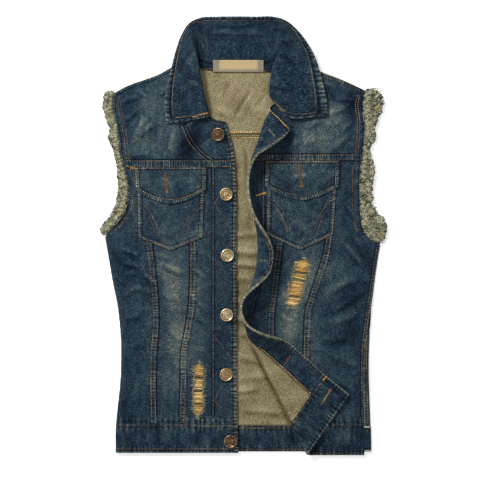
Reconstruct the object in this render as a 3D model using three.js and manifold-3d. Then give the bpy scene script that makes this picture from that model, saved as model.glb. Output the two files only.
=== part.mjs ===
// A sleeveless denim vest laid flat on its back with the front upwards, in millimetres, +Z up.
// +Y runs from the hem to the collar and +X to the right of the picture, so the wearer's left side
// is at +X.
// The back lies on the surface, the two fronts lie on it, and the front edge at +X curls up in waves
// and is turned over below the waist. The armholes are torn and frayed. All pieces are cloth walls.
import * as THREE from "three";
import Module from "manifold-3d";
import { mergeVertices } from "three/addons/utils/BufferGeometryUtils.js";

// Cloth thicknesses: one denim layer, a doubled band, a patch pocket, a lined flap, the collar.
const CLOTH = 1.5;
const BAND = 2.5;
const PATCH = 1.2;
const FLAP = 2;
const COLLAR = 2.4;
const FACING = 1.2;
const GAP = 0.4;
const UNDER_GAP = 1.4;

// Levels of the middle of the cloth above the surface.
const BACK_Z = CLOTH / 2;
const BACK_BAND_Z = BAND / 2;
const FRONT_Z = 4.2;
const FRONT_BAND_Z = 4.7;

// Lines that run across the garment.
const HEM_Y = -364;
const HEM_RIGHT_Y = -368;
const BAND_Y = -316;
const BACK_YOKE_Y = 170;
const YOKE_LEFT_Y = 121.5;
const YOKE_RIGHT_Y = 132;
const UNDERARM_LEFT_Y = 1;
const UNDERARM_RIGHT_Y = -6.5;
const SHOULDER_LEFT_Y = 240;
const SHOULDER_RIGHT_Y = 243;

// The half width of a round turn from the back's level to the front's level.
const TURN = (FRONT_Z - BACK_Z) / 2;
const BAND_TURN = (FRONT_BAND_Z - BACK_BAND_Z) / 2;

const DENIM = { color: 0x2c4356, roughness: 0.9, metalness: 0 };
const DARK_DENIM = { color: 0x1f3347, roughness: 0.9, metalness: 0 };
const REVERSE = { color: 0x8d8260, roughness: 0.92, metalness: 0 };
const FRAY = { color: 0x8f917a, roughness: 0.95, metalness: 0 };
const GOLD_THREAD = { color: 0xc79a4e, roughness: 0.8, metalness: 0 };
const LABEL = { color: 0xd8bf8a, roughness: 0.7, metalness: 0 };
const BRASS = { color: 0x8a6b42, roughness: 0.4, metalness: 0.9 };

// The sides: where the outline turns, how much cloth turns under at the left, and how far the back
// comes over on to the front at the right.
const SIDES = [
  { y: -366, left: -213.5, right: 214, under: 30, over: 9 },
  { y: -316, left: -213.5, right: 213, under: 31, over: 9 },
  { y: -245, left: -206.5, right: 211, under: 37, over: 8 },
  { y: -195, left: -205, right: 210.5, under: 40, over: 7 },
  { y: -160, left: -206.5, right: 212, under: 38, over: 5 },
  { y: -118, left: -211, right: 215, under: 30, over: 2 },
  { y: -78, left: -219, right: 219.5, under: 20, over: 0.6 },
  { y: -37, left: -226, right: 225.5, under: 13, over: 0.4 },
  { y: -6, left: -231.5, right: 231, under: 7, over: 0.3 },
  { y: 2, left: -233, right: 232, under: 6, over: 0.3 },
];

// The armhole edges of the fronts and of the back, from the underarm to the shoulder.
const ARMHOLES = [
  { y: -6.5, left: -233, right: 230, backLeft: -233, backRight: 231 },
  { y: 1.5, left: -231, right: 209, backLeft: -231, backRight: 215 },
  { y: 15, left: -222, right: 202, backLeft: -224, backRight: 206 },
  { y: 30, left: -208, right: 199, backLeft: -212, backRight: 203 },
  { y: 48, left: -197.5, right: 197.7, backLeft: -202, backRight: 202 },
  { y: 85, left: -194.4, right: 197, backLeft: -199, backRight: 201 },
  { y: 112, left: -200, right: 198, backLeft: -204, backRight: 202 },
  { y: 135, left: -206.8, right: 201.4, backLeft: -210, backRight: 205 },
  { y: 160, left: -209, right: 204, backLeft: -212, backRight: 207 },
  { y: 195, left: -215.5, right: 205, backLeft: -217, backRight: 208 },
  { y: 220, left: -220, right: 202, backLeft: -220, backRight: 205 },
  { y: 243, left: -217, right: 207, backLeft: -217, backRight: 208 },
];

// Seams and front edges. The right front is given as it would lie unrolled.
const SEAMS = [
  { y: -364, outerL: -150.5, innerL: -103, edgeL: -10, innerR: 72, outerR: 120, edgeR: -19 },
  { y: -316, outerL: -150.7, innerL: -102.8, edgeL: -11, innerR: 68, outerR: 116, edgeR: -23 },
  { y: -245, outerL: -152, innerL: -101, edgeL: -12, innerR: 60, outerR: 108, edgeR: -31 },
  { y: -195, outerL: -151, innerL: -100, edgeL: -12, innerR: 51, outerR: 105.5, edgeR: -36 },
  { y: -160, outerL: -148, innerL: -93.5, edgeL: -12, innerR: 46.5, outerR: 106.7, edgeR: -36 },
  { y: -125, outerL: -147.5, innerL: -88.2, edgeL: -12, innerR: 47.5, outerR: 109, edgeR: -26 },
  { y: -90, outerL: -150, innerL: -85.5, edgeL: -12, innerR: 52, outerR: 120, edgeR: -15 },
  { y: -42, outerL: -155, innerL: -84.8, edgeL: -12.5, innerR: 57.5, outerR: 136, edgeR: -9 },
  { y: -8, outerL: -159.3, innerL: -85.5, edgeL: -12.5, innerR: 61, outerR: 143, edgeR: -7 },
  { y: 60, outerL: -162, innerL: -84, edgeL: -12.5, innerR: 62, outerR: 148, edgeR: -6 },
  { y: 121, outerL: -164, innerL: -81.5, edgeL: -14.5, innerR: 62, outerR: 150, edgeR: -7 },
  { y: 132, outerL: -164, innerL: -81.5, edgeL: -16, innerR: 62, outerR: 150, edgeR: -8 },
  { y: 156, outerL: -164, innerL: -81.5, edgeL: -19.5, innerR: 62, outerR: 150, edgeR: -10 },
  { y: 180, outerL: -164, innerL: -81.5, edgeL: -26.5, innerR: 62, outerR: 150, edgeR: -11.5 },
  { y: 205, outerL: -164, innerL: -81.5, edgeL: -32, innerR: 62, outerR: 150, edgeR: -12 },
];

// The right front edge curls along this line. curl is the angle, in degrees, that the strip has turned
// through at its edge: 180 lies folded over, 75 leans up and outwards.
const CURLS = [
  { y: 240, line: 56, curl: 180 },
  { y: 218, line: 49.6, curl: 180 },
  { y: 198, line: 43.5, curl: 178 },
  { y: 181, line: 38.6, curl: 175 },
  { y: 155, line: 32, curl: 148 },
  { y: 128, line: 27, curl: 105 },
  { y: 94, line: 26, curl: 80 },
  { y: 60, line: 29.5, curl: 80 },
  { y: 27, line: 33, curl: 98 },
  { y: -7, line: 33, curl: 138 },
  { y: -32, line: 31, curl: 160 },
  { y: -60, line: 28.5, curl: 150 },
  { y: -82, line: 25.5, curl: 115 },
  { y: -107, line: 21, curl: 78 },
  { y: -126, line: 18, curl: 76 },
  { y: -147, line: 16, curl: 98 },
  { y: -170, line: 18, curl: 142 },
  { y: -191, line: 24.5, curl: 172 },
  { y: -217, line: 36.5, curl: 180 },
  { y: -250, line: 53, curl: 180 },
  { y: -284, line: 70.3, curl: 180 },
  { y: -316, line: 87, curl: 180 },
  { y: -343, line: 101, curl: 180 },
  { y: -372, line: 116, curl: 180 },
];
// Length of cloth in the bend: tight where it is folded over, longer where it only leans.
const BEND_TIGHT = 15;
const BEND_LOOSE = 30;
// The turned-over part comes down on to the front within this length, to this height.
const SETTLE_LENGTH = 55;
const SETTLE_HEIGHT = 3.7;

// The largest soft folds of the fronts: a ridge's middle, direction, half length, half width and height.
const FOLDS = [
  { x: -178, y: -48, turn: -32, length: 26, width: 7, height: 1.7 },
  { x: -176, y: -66, turn: 20, length: 22, width: 8, height: 1.4 },
  { x: -190, y: -240, turn: 80, length: 60, width: 9, height: 1.2 },
  { x: -122, y: -60, turn: 10, length: 24, width: 12, height: 1.3 },
  { x: -170, y: 185, turn: 65, length: 34, width: 10, height: 1.6 },
  { x: -118, y: 180, turn: 95, length: 40, width: 12, height: 1.8 },
  { x: 150, y: 190, turn: 60, length: 36, width: 14, height: 1.8 },
  { x: 105, y: 165, turn: 35, length: 30, width: 12, height: 1.4 },
  { x: 172, y: -30, turn: -48, length: 40, width: 10, height: 1.6 },
  { x: 165, y: -118, turn: 38, length: 44, width: 13, height: 1.7 },
  { x: 180, y: -215, turn: 60, length: 50, width: 14, height: 1.4 },
];

// Sections of the collar from its left tip round the back to its right tip: the neck seam, the crest
// where it rolls over, a point on the way down and the outer edge, each with its height.
const COLLAR_SECTIONS = [
  { seam: [-57, 201, 7], crest: [-60, 199.5, 11], fall: [-88, 194, 9.6], edge: [-129, 189, 8.4] },
  { seam: [-62, 219, 7], crest: [-64, 219, 13], fall: [-90, 218, 11], edge: [-132, 218, 8.4] },
  { seam: [-69.5, 248, 5], crest: [-70.5, 252, 15], fall: [-94, 252, 12], edge: [-128, 252, 8.4] },
  { seam: [-76, 272, 4.6], crest: [-75, 280, 16], fall: [-95, 284, 12.5], edge: [-120, 286, 8] },
  { seam: [-78, 284.5, 3.8], crest: [-80.5, 311, 15], fall: [-95, 311, 11.5], edge: [-113.5, 311, 7] },
  { seam: [-76, 287.5, 3.2], crest: [-84, 333, 12], fall: [-93, 335, 10], edge: [-104.5, 336, 7] },
  { seam: [-71, 286, 2.8], crest: [-80, 342, 8.6], fall: [-85, 350, 8.4], edge: [-91, 357, 7.6] },
  { seam: [-60, 284.6, 1.4], crest: [-66, 325, 4.6], fall: [-68, 346, 6.6], edge: [-71, 366.5, 8] },
  { seam: [-38, 283.4, 1.3], crest: [-41, 324, 3.8], fall: [-42, 346, 6.2], edge: [-43, 368, 8.8] },
  { seam: [-11, 283, 1.3], crest: [-11.5, 324, 3.6], fall: [-11.5, 346, 6.2], edge: [-11.5, 368.3, 9] },
  { seam: [15, 283.4, 1.3], crest: [18, 324, 3.8], fall: [19, 346, 6.2], edge: [20, 368, 8.8] },
  { seam: [37, 284.6, 1.4], crest: [43, 325, 4.6], fall: [46, 346, 6.6], edge: [50, 368, 8] },
  { seam: [50, 286.4, 2.8], crest: [61, 340, 8.6], fall: [66, 350, 8.4], edge: [71, 361.5, 7.6] },
  { seam: [56, 287.5, 3.3], crest: [66.5, 331, 12], fall: [76, 337, 10], edge: [89.5, 346.5, 7] },
  { seam: [59, 284.5, 3.8], crest: [60, 312, 15], fall: [80, 320, 11.5], edge: [105.5, 326, 7] },
  { seam: [57, 271, 4.6], crest: [52, 292, 16], fall: [82, 298, 12.5], edge: [120, 300, 8] },
  { seam: [52.5, 248, 5], crest: [45.5, 262, 15], fall: [80, 262, 12], edge: [132, 262, 8.4] },
  { seam: [50, 232, 5], crest: [44.5, 235, 13], fall: [80, 224, 11], edge: [139.5, 225, 8.4] },
  { seam: [50.5, 224.5, 6.4], crest: [49.5, 226, 12], fall: [75, 199, 10.6], edge: [141, 202, 8.4] },
];

const smooth = (t) => {
  const s = Math.min(Math.max(t, 0), 1);
  return s * s * (3 - 2 * s);
};
const mix = (a, b, t) => a + (b - a) * t;

// One column of a table as a smooth function of its y column.
function column(rows, name) {
  const table = [...rows].sort((a, b) => a.y - b.y);
  const slopeAt = (i) => {
    const before = table[Math.max(i - 1, 0)];
    const after = table[Math.min(i + 1, table.length - 1)];
    return (after[name] - before[name]) / (after.y - before.y);
  };
  return (y) => {
    const at = Math.min(Math.max(y, table[0].y), table.at(-1).y);
    let i = table.findIndex((row) => row.y >= at) - 1;
    i = Math.min(Math.max(i, 0), table.length - 2);
    const step = table[i + 1].y - table[i].y;
    const t = (at - table[i].y) / step;
    const tt = t * t;
    const ttt = tt * t;
    return (
      table[i][name] * (2 * ttt - 3 * tt + 1) +
      slopeAt(i) * step * (ttt - 2 * tt + t) +
      table[i + 1][name] * (3 * tt - 2 * ttt) +
      slopeAt(i + 1) * step * (ttt - tt)
    );
  };
}
const columnsOf = (rows) =>
  Object.fromEntries(Object.keys(rows[0]).map((name) => [name, column(rows, name)]));

const side = columnsOf(SIDES);
const armhole = columnsOf(ARMHOLES);
const seam = columnsOf(SEAMS);
const roll = columnsOf(CURLS);

// Height of the middle of the front cloth, with its folds, which fade out towards the outline.
function frontHeight(x, y) {
  const fromSide = Math.min(x - side.left(y), side.right(y) - x);
  const fade = smooth((fromSide - 8) / 26);
  const folds = FOLDS.reduce((sum, fold) => {
    const turn = THREE.MathUtils.degToRad(fold.turn);
    const dx = x - fold.x;
    const dy = y - fold.y;
    const along = (dx * Math.cos(turn) + dy * Math.sin(turn)) / fold.length;
    const across = (dy * Math.cos(turn) - dx * Math.sin(turn)) / fold.width;
    return sum + fold.height * Math.exp(-along * along - across * across);
  }, 0);
  return FRONT_Z + fade * folds;
}

// A point of the unrolled right front, with the curl of its edge. level raises the cloth, as in the band.
function rolled(x, y, level = 0) {
  let foot = y;
  let slope = 0;
  for (let i = 0; i < 14; i += 1) {
    slope = (roll.line(foot + 1) - roll.line(foot - 1)) / 2;
    foot = mix(foot, y + (x - roll.line(foot)) * slope, 0.7);
  }
  const stretch = Math.hypot(1, slope);
  const past = (roll.line(foot) - x) * stretch;
  if (past <= 0) return new THREE.Vector3(x, y, frontHeight(x, y) + level);
  const turned = THREE.MathUtils.degToRad(roll.curl(foot));
  const bend = mix(BEND_LOOSE, BEND_TIGHT, Math.min(turned / Math.PI, 1));
  const radius = bend / turned;
  const angle = Math.min(past / radius, turned);
  const rest = Math.max(past - bend, 0);
  const reach = radius * Math.sin(angle) + rest * Math.cos(angle);
  const rise = radius * (1 - Math.cos(angle)) + rest * Math.sin(angle);
  const over = smooth((turned - 2.75) / 0.35);
  const drop = over * smooth(rest / SETTLE_LENGTH) * (2 * radius - SETTLE_HEIGHT);
  const px = roll.line(foot) - reach / stretch;
  const py = foot + (reach * slope) / stretch;
  return new THREE.Vector3(px, py, frontHeight(px, py) + level + rise - drop);
}

// Places of count + 1 grid lines from one value to another, closer together between dense and denseEnd.
function crowded(from, to, count, dense, denseEnd, times) {
  const samples = 120;
  const weight = [0];
  for (let i = 1; i <= samples; i += 1) {
    const at = mix(from, to, (i - 0.5) / samples);
    const inside = at > Math.min(dense, denseEnd) && at < Math.max(dense, denseEnd);
    weight.push(weight[i - 1] + (inside ? times : 1));
  }
  return Array.from({ length: count + 1 }, (_, k) => {
    const goal = (k / count) * weight[samples];
    const i = Math.max(weight.findIndex((w) => w >= goal - 1e-9), 1);
    const part = (goal - weight[i - 1]) / (weight[i] - weight[i - 1]);
    return k === 0 ? from : k === count ? to : mix(from, to, (i - 1 + part) / samples);
  });
}
// The same places as a function of the share from 0 to 1, on a grid of count cells.
function sharedOut(places, u) {
  const at = Math.min(Math.max(u, 0), 1) * (places.length - 1);
  const i = Math.min(Math.floor(at), places.length - 2);
  return mix(places[i], places[i + 1], at - i);
}

// A closed cloth wall round a middle surface. lift moves it out along its normal, and
// raised(u, v) moves the outer face alone.
function wall(surface, across, along, thickness, lift = 0, raised = () => 0) {
  const vertices = [];
  const index = [];
  const small = 0.002;
  const rows = along + 1;
  for (let i = 0; i <= across; i += 1) {
    for (let j = 0; j <= along; j += 1) {
      const u = i / across;
      const v = j / along;
      const middle = surface(u, v);
      const du = surface(Math.min(u + small, 1), v).sub(surface(Math.max(u - small, 0), v));
      const dv = surface(u, Math.min(v + small, 1)).sub(surface(u, Math.max(v - small, 0)));
      const normal = du.cross(dv).normalize();
      const outer = middle.clone().addScaledVector(normal, lift + thickness / 2 + raised(u, v));
      const inner = middle.clone().addScaledVector(normal, lift - thickness / 2);
      vertices.push(...outer.toArray(), ...inner.toArray());
    }
  }
  const out = (i, j) => 2 * (i * rows + j);
  const inn = (i, j) => out(i, j) + 1;
  const quad = (a, b, c, d) => index.push(a, b, c, a, c, d);
  for (let i = 0; i < across; i += 1) {
    for (let j = 0; j < along; j += 1) {
      quad(out(i, j), out(i + 1, j), out(i + 1, j + 1), out(i, j + 1));
      quad(inn(i, j), inn(i, j + 1), inn(i + 1, j + 1), inn(i + 1, j));
    }
    quad(inn(i, 0), inn(i + 1, 0), out(i + 1, 0), out(i, 0));
    quad(out(i, along), out(i + 1, along), inn(i + 1, along), inn(i, along));
  }
  for (let j = 0; j < along; j += 1) {
    quad(out(0, j), out(0, j + 1), inn(0, j + 1), inn(0, j));
    quad(inn(across, j), inn(across, j + 1), out(across, j + 1), out(across, j));
  }
  const geometry = new THREE.BufferGeometry();
  geometry.setAttribute("position", new THREE.Float32BufferAttribute(vertices, 3));
  geometry.setIndex(index);
  return geometry;
}

// A flat patch filled in between four border curves.
function patch(bottom, top, left, right) {
  return (u, v) => {
    const part = (point, share) => point.clone().multiplyScalar(share);
    return part(bottom(u), 1 - v)
      .add(part(top(u), v))
      .add(part(left(v), 1 - u))
      .add(part(right(v), u))
      .sub(part(bottom(0), (1 - u) * (1 - v)))
      .sub(part(bottom(1), u * (1 - v)))
      .sub(part(top(0), (1 - u) * v))
      .sub(part(top(1), u * v));
  };
}
const through = (...points) => {
  const curve = new THREE.SplineCurve(points.map(([x, y]) => new THREE.Vector2(x, y)));
  return (t) => curve.getPoint(t);
};
const straight = (a, b) => (t) => new THREE.Vector2(mix(a[0], b[0], t), mix(a[1], b[1], t));
// A border that follows an x(y) curve between two heights.
const edgeAt = (curve, low, high) => (t) => {
  const y = mix(low, high, t);
  return new THREE.Vector2(curve(y), y);
};

const vest = new THREE.Group();
function add(name, geometry, look) {
  geometry.computeVertexNormals();
  const mesh = new THREE.Mesh(geometry, new THREE.MeshStandardMaterial(look));
  mesh.name = name;
  vest.add(mesh);
}

const wasm = await Module();
wasm.setup();
function solid(geometry) {
  const bare = geometry.clone();
  bare.deleteAttribute("normal");
  bare.deleteAttribute("uv");
  const merged = mergeVertices(bare, 1e-4);
  const mesh = new wasm.Mesh({
    numProp: 3,
    vertProperties: new Float32Array(merged.attributes.position.array),
    triVerts: new Uint32Array(merged.index.array),
  });
  return new wasm.Manifold(mesh);
}
function geometryOf(manifold) {
  const mesh = manifold.getMesh();
  const geometry = new THREE.BufferGeometry();
  geometry.setAttribute("position", new THREE.BufferAttribute(mesh.vertProperties, 3));
  geometry.setIndex(new THREE.BufferAttribute(mesh.triVerts, 1));
  return geometry;
}

// The left front turns round the left outline and under, towards the side seam.
function leftSection(inner, past, y, top, bottom, turn) {
  const outline = y < UNDERARM_LEFT_Y ? side.left(y) : armhole.left(y);
  const flat = inner - (outline + turn);
  if (past <= flat) return new THREE.Vector3(inner - past, y, top(inner - past, y));
  const angle = Math.min((past - flat) / turn, Math.PI);
  const rest = Math.max(past - flat - Math.PI * turn, 0);
  const x = outline + turn - turn * Math.sin(angle) + rest;
  return new THREE.Vector3(x, y, (top(x, y) + bottom) / 2 + turn * Math.cos(angle));
}
// How much cloth lies past the start of the turn: it fades to none at the underarm.
const turnedUnder = (y) => side.under(y) * smooth((UNDERARM_LEFT_Y - y) / 12);

// The rows of the lower front panels and of the back, closer together round the underarm.
const LOW_Y = BAND_Y + GAP;
const LEFT_ROWS = crowded(LOW_Y, YOKE_LEFT_Y - GAP, 18, -12, 45, 3);
const RIGHT_ROWS = crowded(LOW_Y, YOKE_RIGHT_Y - GAP, 30, -14, 40, 2);

function frontLeftSide() {
  const across = 10;
  return wall((u, v) => {
    const y = sharedOut(LEFT_ROWS, v);
    const inner = seam.outerL(y) - GAP / 2;
    const outline = y < UNDERARM_LEFT_Y ? side.left(y) : armhole.left(y);
    const flat = inner - outline - TURN;
    const total = flat + turnedUnder(y);
    const places = crowded(total, 0, across, flat, flat + Math.PI * TURN, 9);
    return leftSection(inner, sharedOut(places, u), y, frontHeight, BACK_Z, TURN);
  }, across, LEFT_ROWS.length - 1, CLOTH);
}

function bandFrontLeft() {
  const across = 14;
  const height = () => FRONT_BAND_Z;
  return wall((u, v) => {
    const y = mix(HEM_Y, BAND_Y, v);
    const inner = seam.edgeL(y) + 1.5;
    const flat = inner - side.left(y) - BAND_TURN;
    const places = crowded(flat + side.under(y), 0, across, flat, flat + Math.PI * BAND_TURN, 16);
    return leftSection(inner, sharedOut(places, u), y, height, BACK_BAND_Z, BAND_TURN);
  }, across, 2, BAND);
}

const onFront = (flat) => (u, v) => {
  const point = flat(u, v);
  return new THREE.Vector3(point.x, point.y, frontHeight(point.x, point.y));
};

// A front panel between two seams, below the yoke.
const panelBetween = (from, to, rows) => (u, v) => {
  const y = sharedOut(rows, v);
  return new THREE.Vector2(mix(from(y) + GAP / 2, to(y) - GAP / 2, u), y);
};

// A worn-through place: a slanted slot with a ragged outline, cut through the cloth.
const RIPS = {
  left: { x: -75.5, y: -258, height: 88, width: 17, lean: 0.02, steps: 11 },
  right: { x: 91, y: -79, height: 80, width: 24, lean: 0.26, steps: 10 },
};
function ripOutline(rip, inset) {
  const shape = [];
  const half = rip.height / 2 - inset;
  for (const way of [1, -1]) {
    for (let i = 0; i <= rip.steps; i += 1) {
      const t = (way * (2 * i - rip.steps)) / rip.steps;
      const ragged = 1 + 0.1 * Math.sin(7 * t + way) + 0.08 * Math.cos(17 * t);
      const wide = (rip.width / 2) * Math.min(1, 2.6 * (1.05 - Math.abs(t))) * ragged - inset;
      shape.push(new THREE.Vector2(rip.x + rip.lean * t * half + way * wide, rip.y + t * half));
    }
  }
  return new THREE.Shape(shape);
}
function ripThrough(rip) {
  const cut = new THREE.ExtrudeGeometry(ripOutline(rip, 0), { depth: 12, bevelEnabled: false });
  return solid(cut);
}
// The bare cross threads left in the slot, as a thin ribbed sheet that fills it.
function ripThreads(rip) {
  const rows = 2 * rip.steps;
  const half = rip.height / 2 - GAP;
  const sheet = wall(
    (u, v) => {
      const y = rip.y + mix(-half, half, v) * 1.02;
      const x = rip.x + (rip.lean * (y - rip.y)) + mix(-rip.width, rip.width, u);
      return new THREE.Vector3(x, y, frontHeight(x, y));
    },
    1,
    rows,
    0.7,
    0,
    (u, v) => (Math.round(v * rows) % 2 ? 0.4 : 0),
  );
  const hole = new THREE.ExtrudeGeometry(ripOutline(rip, GAP), { depth: 12, bevelEnabled: false });
  return geometryOf(solid(sheet).intersect(solid(hole)));
}

function frontLeftMiddle() {
  const flat = panelBetween(seam.outerL, seam.innerL, LEFT_ROWS);
  return wall(onFront(flat), 4, LEFT_ROWS.length - 1, CLOTH);
}
function frontLeftInner() {
  const flat = panelBetween(seam.innerL, seam.edgeL, LEFT_ROWS);
  const whole = wall(onFront(flat), 5, LEFT_ROWS.length - 1, CLOTH);
  return geometryOf(solid(whole).subtract(ripThrough(RIPS.left)));
}

// The shoulder edge of a front yoke bends down on to the back.
const SHOULDER_LOW = BACK_Z + CLOTH + GAP;
const yokeHeight = (v, u, neckShare) => {
  const onShoulder = smooth((neckShare - u) / 0.06);
  return mix(0, SHOULDER_LOW - FRONT_Z, smooth((v - 0.9) / 0.1)) * onShoulder;
};

function frontLeftYoke() {
  const tip = [armhole.left(SHOULDER_LEFT_Y), SHOULDER_LEFT_Y];
  const low = YOKE_LEFT_Y + GAP;
  const shoulder = [[-187, 255.5], [-150, 267.5], [-121, 283], [-87, 294]];
  const neck = [[-76, 250], [-64, 212], [-51, 197], [-30, 191.5]];
  const flat = patch(
    straight([armhole.left(low), low], [seam.edgeL(low), low]),
    through(tip, ...shoulder, ...neck),
    edgeAt(armhole.left, low, SHOULDER_LEFT_Y),
    edgeAt(seam.edgeL, low, 191.5),
  );
  return wall((u, v) => {
    const point = onFront(flat)(u, v);
    point.z += yokeHeight(v, u, 0.5);
    return point;
  }, 16, 7, CLOTH);
}

// The right front's pieces are laid out flat, then curled. stations(y) gives the x of their grid lines.
const BEND_SPAN = 22;
const nearBend = (from, to, count, y) =>
  crowded(from, to, count, roll.line(y) - BEND_SPAN, roll.line(y) + 2, 4);
const rightPiece = (stations, rows, cells, thickness, lift = 0, level = 0) =>
  wall(
    (u, v) => {
      const y = sharedOut(rows, v);
      return rolled(sharedOut(stations(y), u), y, level);
    },
    cells,
    rows.length - 1,
    thickness,
    lift,
  );

// The front edge is doubled inside by a facing, which shows where the edge turns over.
const FACING_WIDTH = 41;
const FACING_CELLS = 5;
const FACING_LIFT = -(CLOTH / 2 + GAP + FACING / 2);
const facingStations = (y) =>
  nearBend(seam.edgeR(y), seam.edgeR(y) + FACING_WIDTH, FACING_CELLS, y);
const innerStations = (y) => {
  const rest = nearBend(seam.edgeR(y) + FACING_WIDTH, seam.innerR(y) - GAP / 2, 7, y);
  return [...facingStations(y), ...rest.slice(1)];
};
const frontRightInner = () => rightPiece(innerStations, RIGHT_ROWS, FACING_CELLS + 7, CLOTH);
const facingLower = () =>
  rightPiece(facingStations, RIGHT_ROWS, FACING_CELLS, FACING, FACING_LIFT);
function frontRightMiddle() {
  const stations = (y) => nearBend(seam.innerR(y) + GAP / 2, seam.outerR(y) - GAP / 2, 6, y);
  return geometryOf(solid(rightPiece(stations, RIGHT_ROWS, 6, CLOTH)).subtract(ripThrough(RIPS.right)));
}
const sideSeamRight = (y) =>
  y < UNDERARM_RIGHT_Y ? side.right(y) - TURN - side.over(y) - 2 * GAP : armhole.right(y) - 1;
const frontRightSide = () =>
  wall(onFront((u, v) => {
    const y = sharedOut(RIGHT_ROWS, v);
    return new THREE.Vector2(mix(seam.outerR(y) + GAP / 2, sideSeamRight(y), u), y);
  }), 4, RIGHT_ROWS.length - 1, CLOTH);
function bandFrontRight() {
  const rows = crowded(HEM_RIGHT_Y, BAND_Y, 3, 0, 0, 1);
  const inner = (y) => side.right(y) - BAND_TURN - side.over(y) - GAP;
  const stations = (y) => nearBend(seam.edgeR(y) - 0.5, inner(y), 18, y);
  return rightPiece(stations, rows, 18, BAND, 0, FRONT_BAND_Z - FRONT_Z);
}

// The yoke's grid is crowded over the bend, and its facing takes the first part of the same grid.
const LAPEL_SHARE = 0.19;
const YOKE_SHARES = [
  ...crowded(0, LAPEL_SHARE, 6, 0, 0, 1),
  ...crowded(LAPEL_SHARE, 1, 11, LAPEL_SHARE, 0.3, 3).slice(1),
];
function rightYokeSurface() {
  const tip = [armhole.right(SHOULDER_RIGHT_Y), SHOULDER_RIGHT_Y];
  const base = YOKE_RIGHT_Y + GAP;
  const neck = [[-12, 205], [18, 211.5], [40, 216], [56, 228], [61, 255]];
  const shoulder = [[67, 289], [105, 281], [150, 267], [180, 255], tip];
  const flat = patch(
    straight([seam.edgeR(base), base], [armhole.right(base), base]),
    through(...neck, ...shoulder),
    edgeAt(seam.edgeR, base, 205),
    edgeAt(armhole.right, base, SHOULDER_RIGHT_Y),
  );
  return (u, v) => {
    const share = sharedOut(YOKE_SHARES, u);
    const point = flat(share, v);
    const place = rolled(point.x, point.y);
    place.z += yokeHeight(v, 1 - share, 0.5);
    return place;
  };
}
const YOKE_CELLS = YOKE_SHARES.length - 1;
const frontRightYoke = () => wall(rightYokeSurface(), YOKE_CELLS, 7, CLOTH);
function facingUpper() {
  const surface = rightYokeSurface();
  const part = 6 / YOKE_CELLS;
  return wall((u, v) => surface(u * part, v), 6, 7, FACING, FACING_LIFT);
}

// The back comes round the right outline and over on to the front.
function rightSection(past, start, y, top, bottom, turn) {
  const flat = side.right(y) - turn - start;
  if (past <= flat) return new THREE.Vector3(start + past, y, bottom);
  const angle = Math.min((past - flat) / turn, Math.PI);
  const rest = Math.max(past - flat - Math.PI * turn, 0);
  const x = start + flat + turn * Math.sin(angle) - rest;
  return new THREE.Vector3(x, y, (top + bottom) / 2 - turn * Math.cos(angle));
}
const backLeftEdge = (y, turn) => {
  const rest = Math.max(turnedUnder(y) - Math.PI * turn, 0);
  return side.left(y) + turn + rest + UNDER_GAP;
};

function backBand() {
  const across = 14;
  return wall((u, v) => {
    const y = mix(HEM_Y + 2, BAND_Y - 3, v);
    const rest = Math.max(side.under(y) - Math.PI * BAND_TURN, 0);
    const start = side.left(y) + BAND_TURN + rest + UNDER_GAP;
    const flat = side.right(y) - BAND_TURN - start;
    const total = flat + Math.PI * BAND_TURN + side.over(y);
    const places = crowded(0, total, across, flat, flat + Math.PI * BAND_TURN, 16);
    const past = sharedOut(places, u);
    return rightSection(past, start, y, FRONT_BAND_Z, BACK_BAND_Z, BAND_TURN);
  }, across, 2, BAND);
}

const BACK_ROWS = crowded(BAND_Y - 3 + GAP, BACK_YOKE_Y - GAP, 16, -20, 45, 3);
function backPanel() {
  const across = 10;
  return wall((u, v) => {
    const y = sharedOut(BACK_ROWS, v);
    const start = y < UNDERARM_LEFT_Y ? backLeftEdge(y, TURN) : armhole.backLeft(y);
    const atArm = y > UNDERARM_RIGHT_Y;
    const flat = (atArm ? armhole.backRight(y) : side.right(y) - TURN) - start;
    const round = Math.PI * TURN + side.over(y);
    const total = flat + round * smooth((UNDERARM_RIGHT_Y - y) / 10);
    const past = sharedOut(crowded(0, total, across, flat - 1, flat + Math.PI * TURN, 12), u);
    if (atArm) return new THREE.Vector3(start + past, y, BACK_Z);
    return rightSection(past, start, y, FRONT_Z, BACK_Z, TURN);
  }, across, BACK_ROWS.length - 1, CLOTH);
}

function backYoke() {
  const base = BACK_YOKE_Y + GAP;
  const leftTip = [armhole.backLeft(SHOULDER_LEFT_Y), SHOULDER_LEFT_Y];
  const rightTip = [armhole.backRight(SHOULDER_RIGHT_Y), SHOULDER_RIGHT_Y];
  const shoulders = [
    leftTip, [-198, 251.5], [-168, 262.5], [-137, 274.5], [-112, 288], [-89, 294],
    [-74, 283.5], [-45, 280.8], [-11, 280], [22, 280.8], [50, 284],
    [66, 291], [95, 285], [128, 277], [155, 267.5], [185, 254.5], rightTip,
  ];
  const flat = patch(
    straight([armhole.backLeft(base), base], [armhole.backRight(base), base]),
    through(...shoulders),
    edgeAt(armhole.backLeft, base, SHOULDER_LEFT_Y),
    edgeAt(armhole.backRight, base, SHOULDER_RIGHT_Y),
  );
  return wall((u, v) => {
    const point = flat(u, v);
    return new THREE.Vector3(point.x, point.y, BACK_Z);
  }, 16, 4, CLOTH);
}

// The collar is one doubled piece, lofted through its sections.
function collar() {
  const along = ["seam", "crest", "fall", "edge"].map(
    (line) =>
      new THREE.CatmullRomCurve3(
        COLLAR_SECTIONS.map((section) => new THREE.Vector3(...section[line])),
      ),
  );
  const surface = (u, v) => {
    const section = along.map((curve) => curve.getPoint(u));
    return new THREE.CatmullRomCurve3(section, false, "centripetal").getPoint(1 - v);
  };
  return wall((u, v) => surface(1 - u, 1 - v), 34, 7, COLLAR);
}

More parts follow.
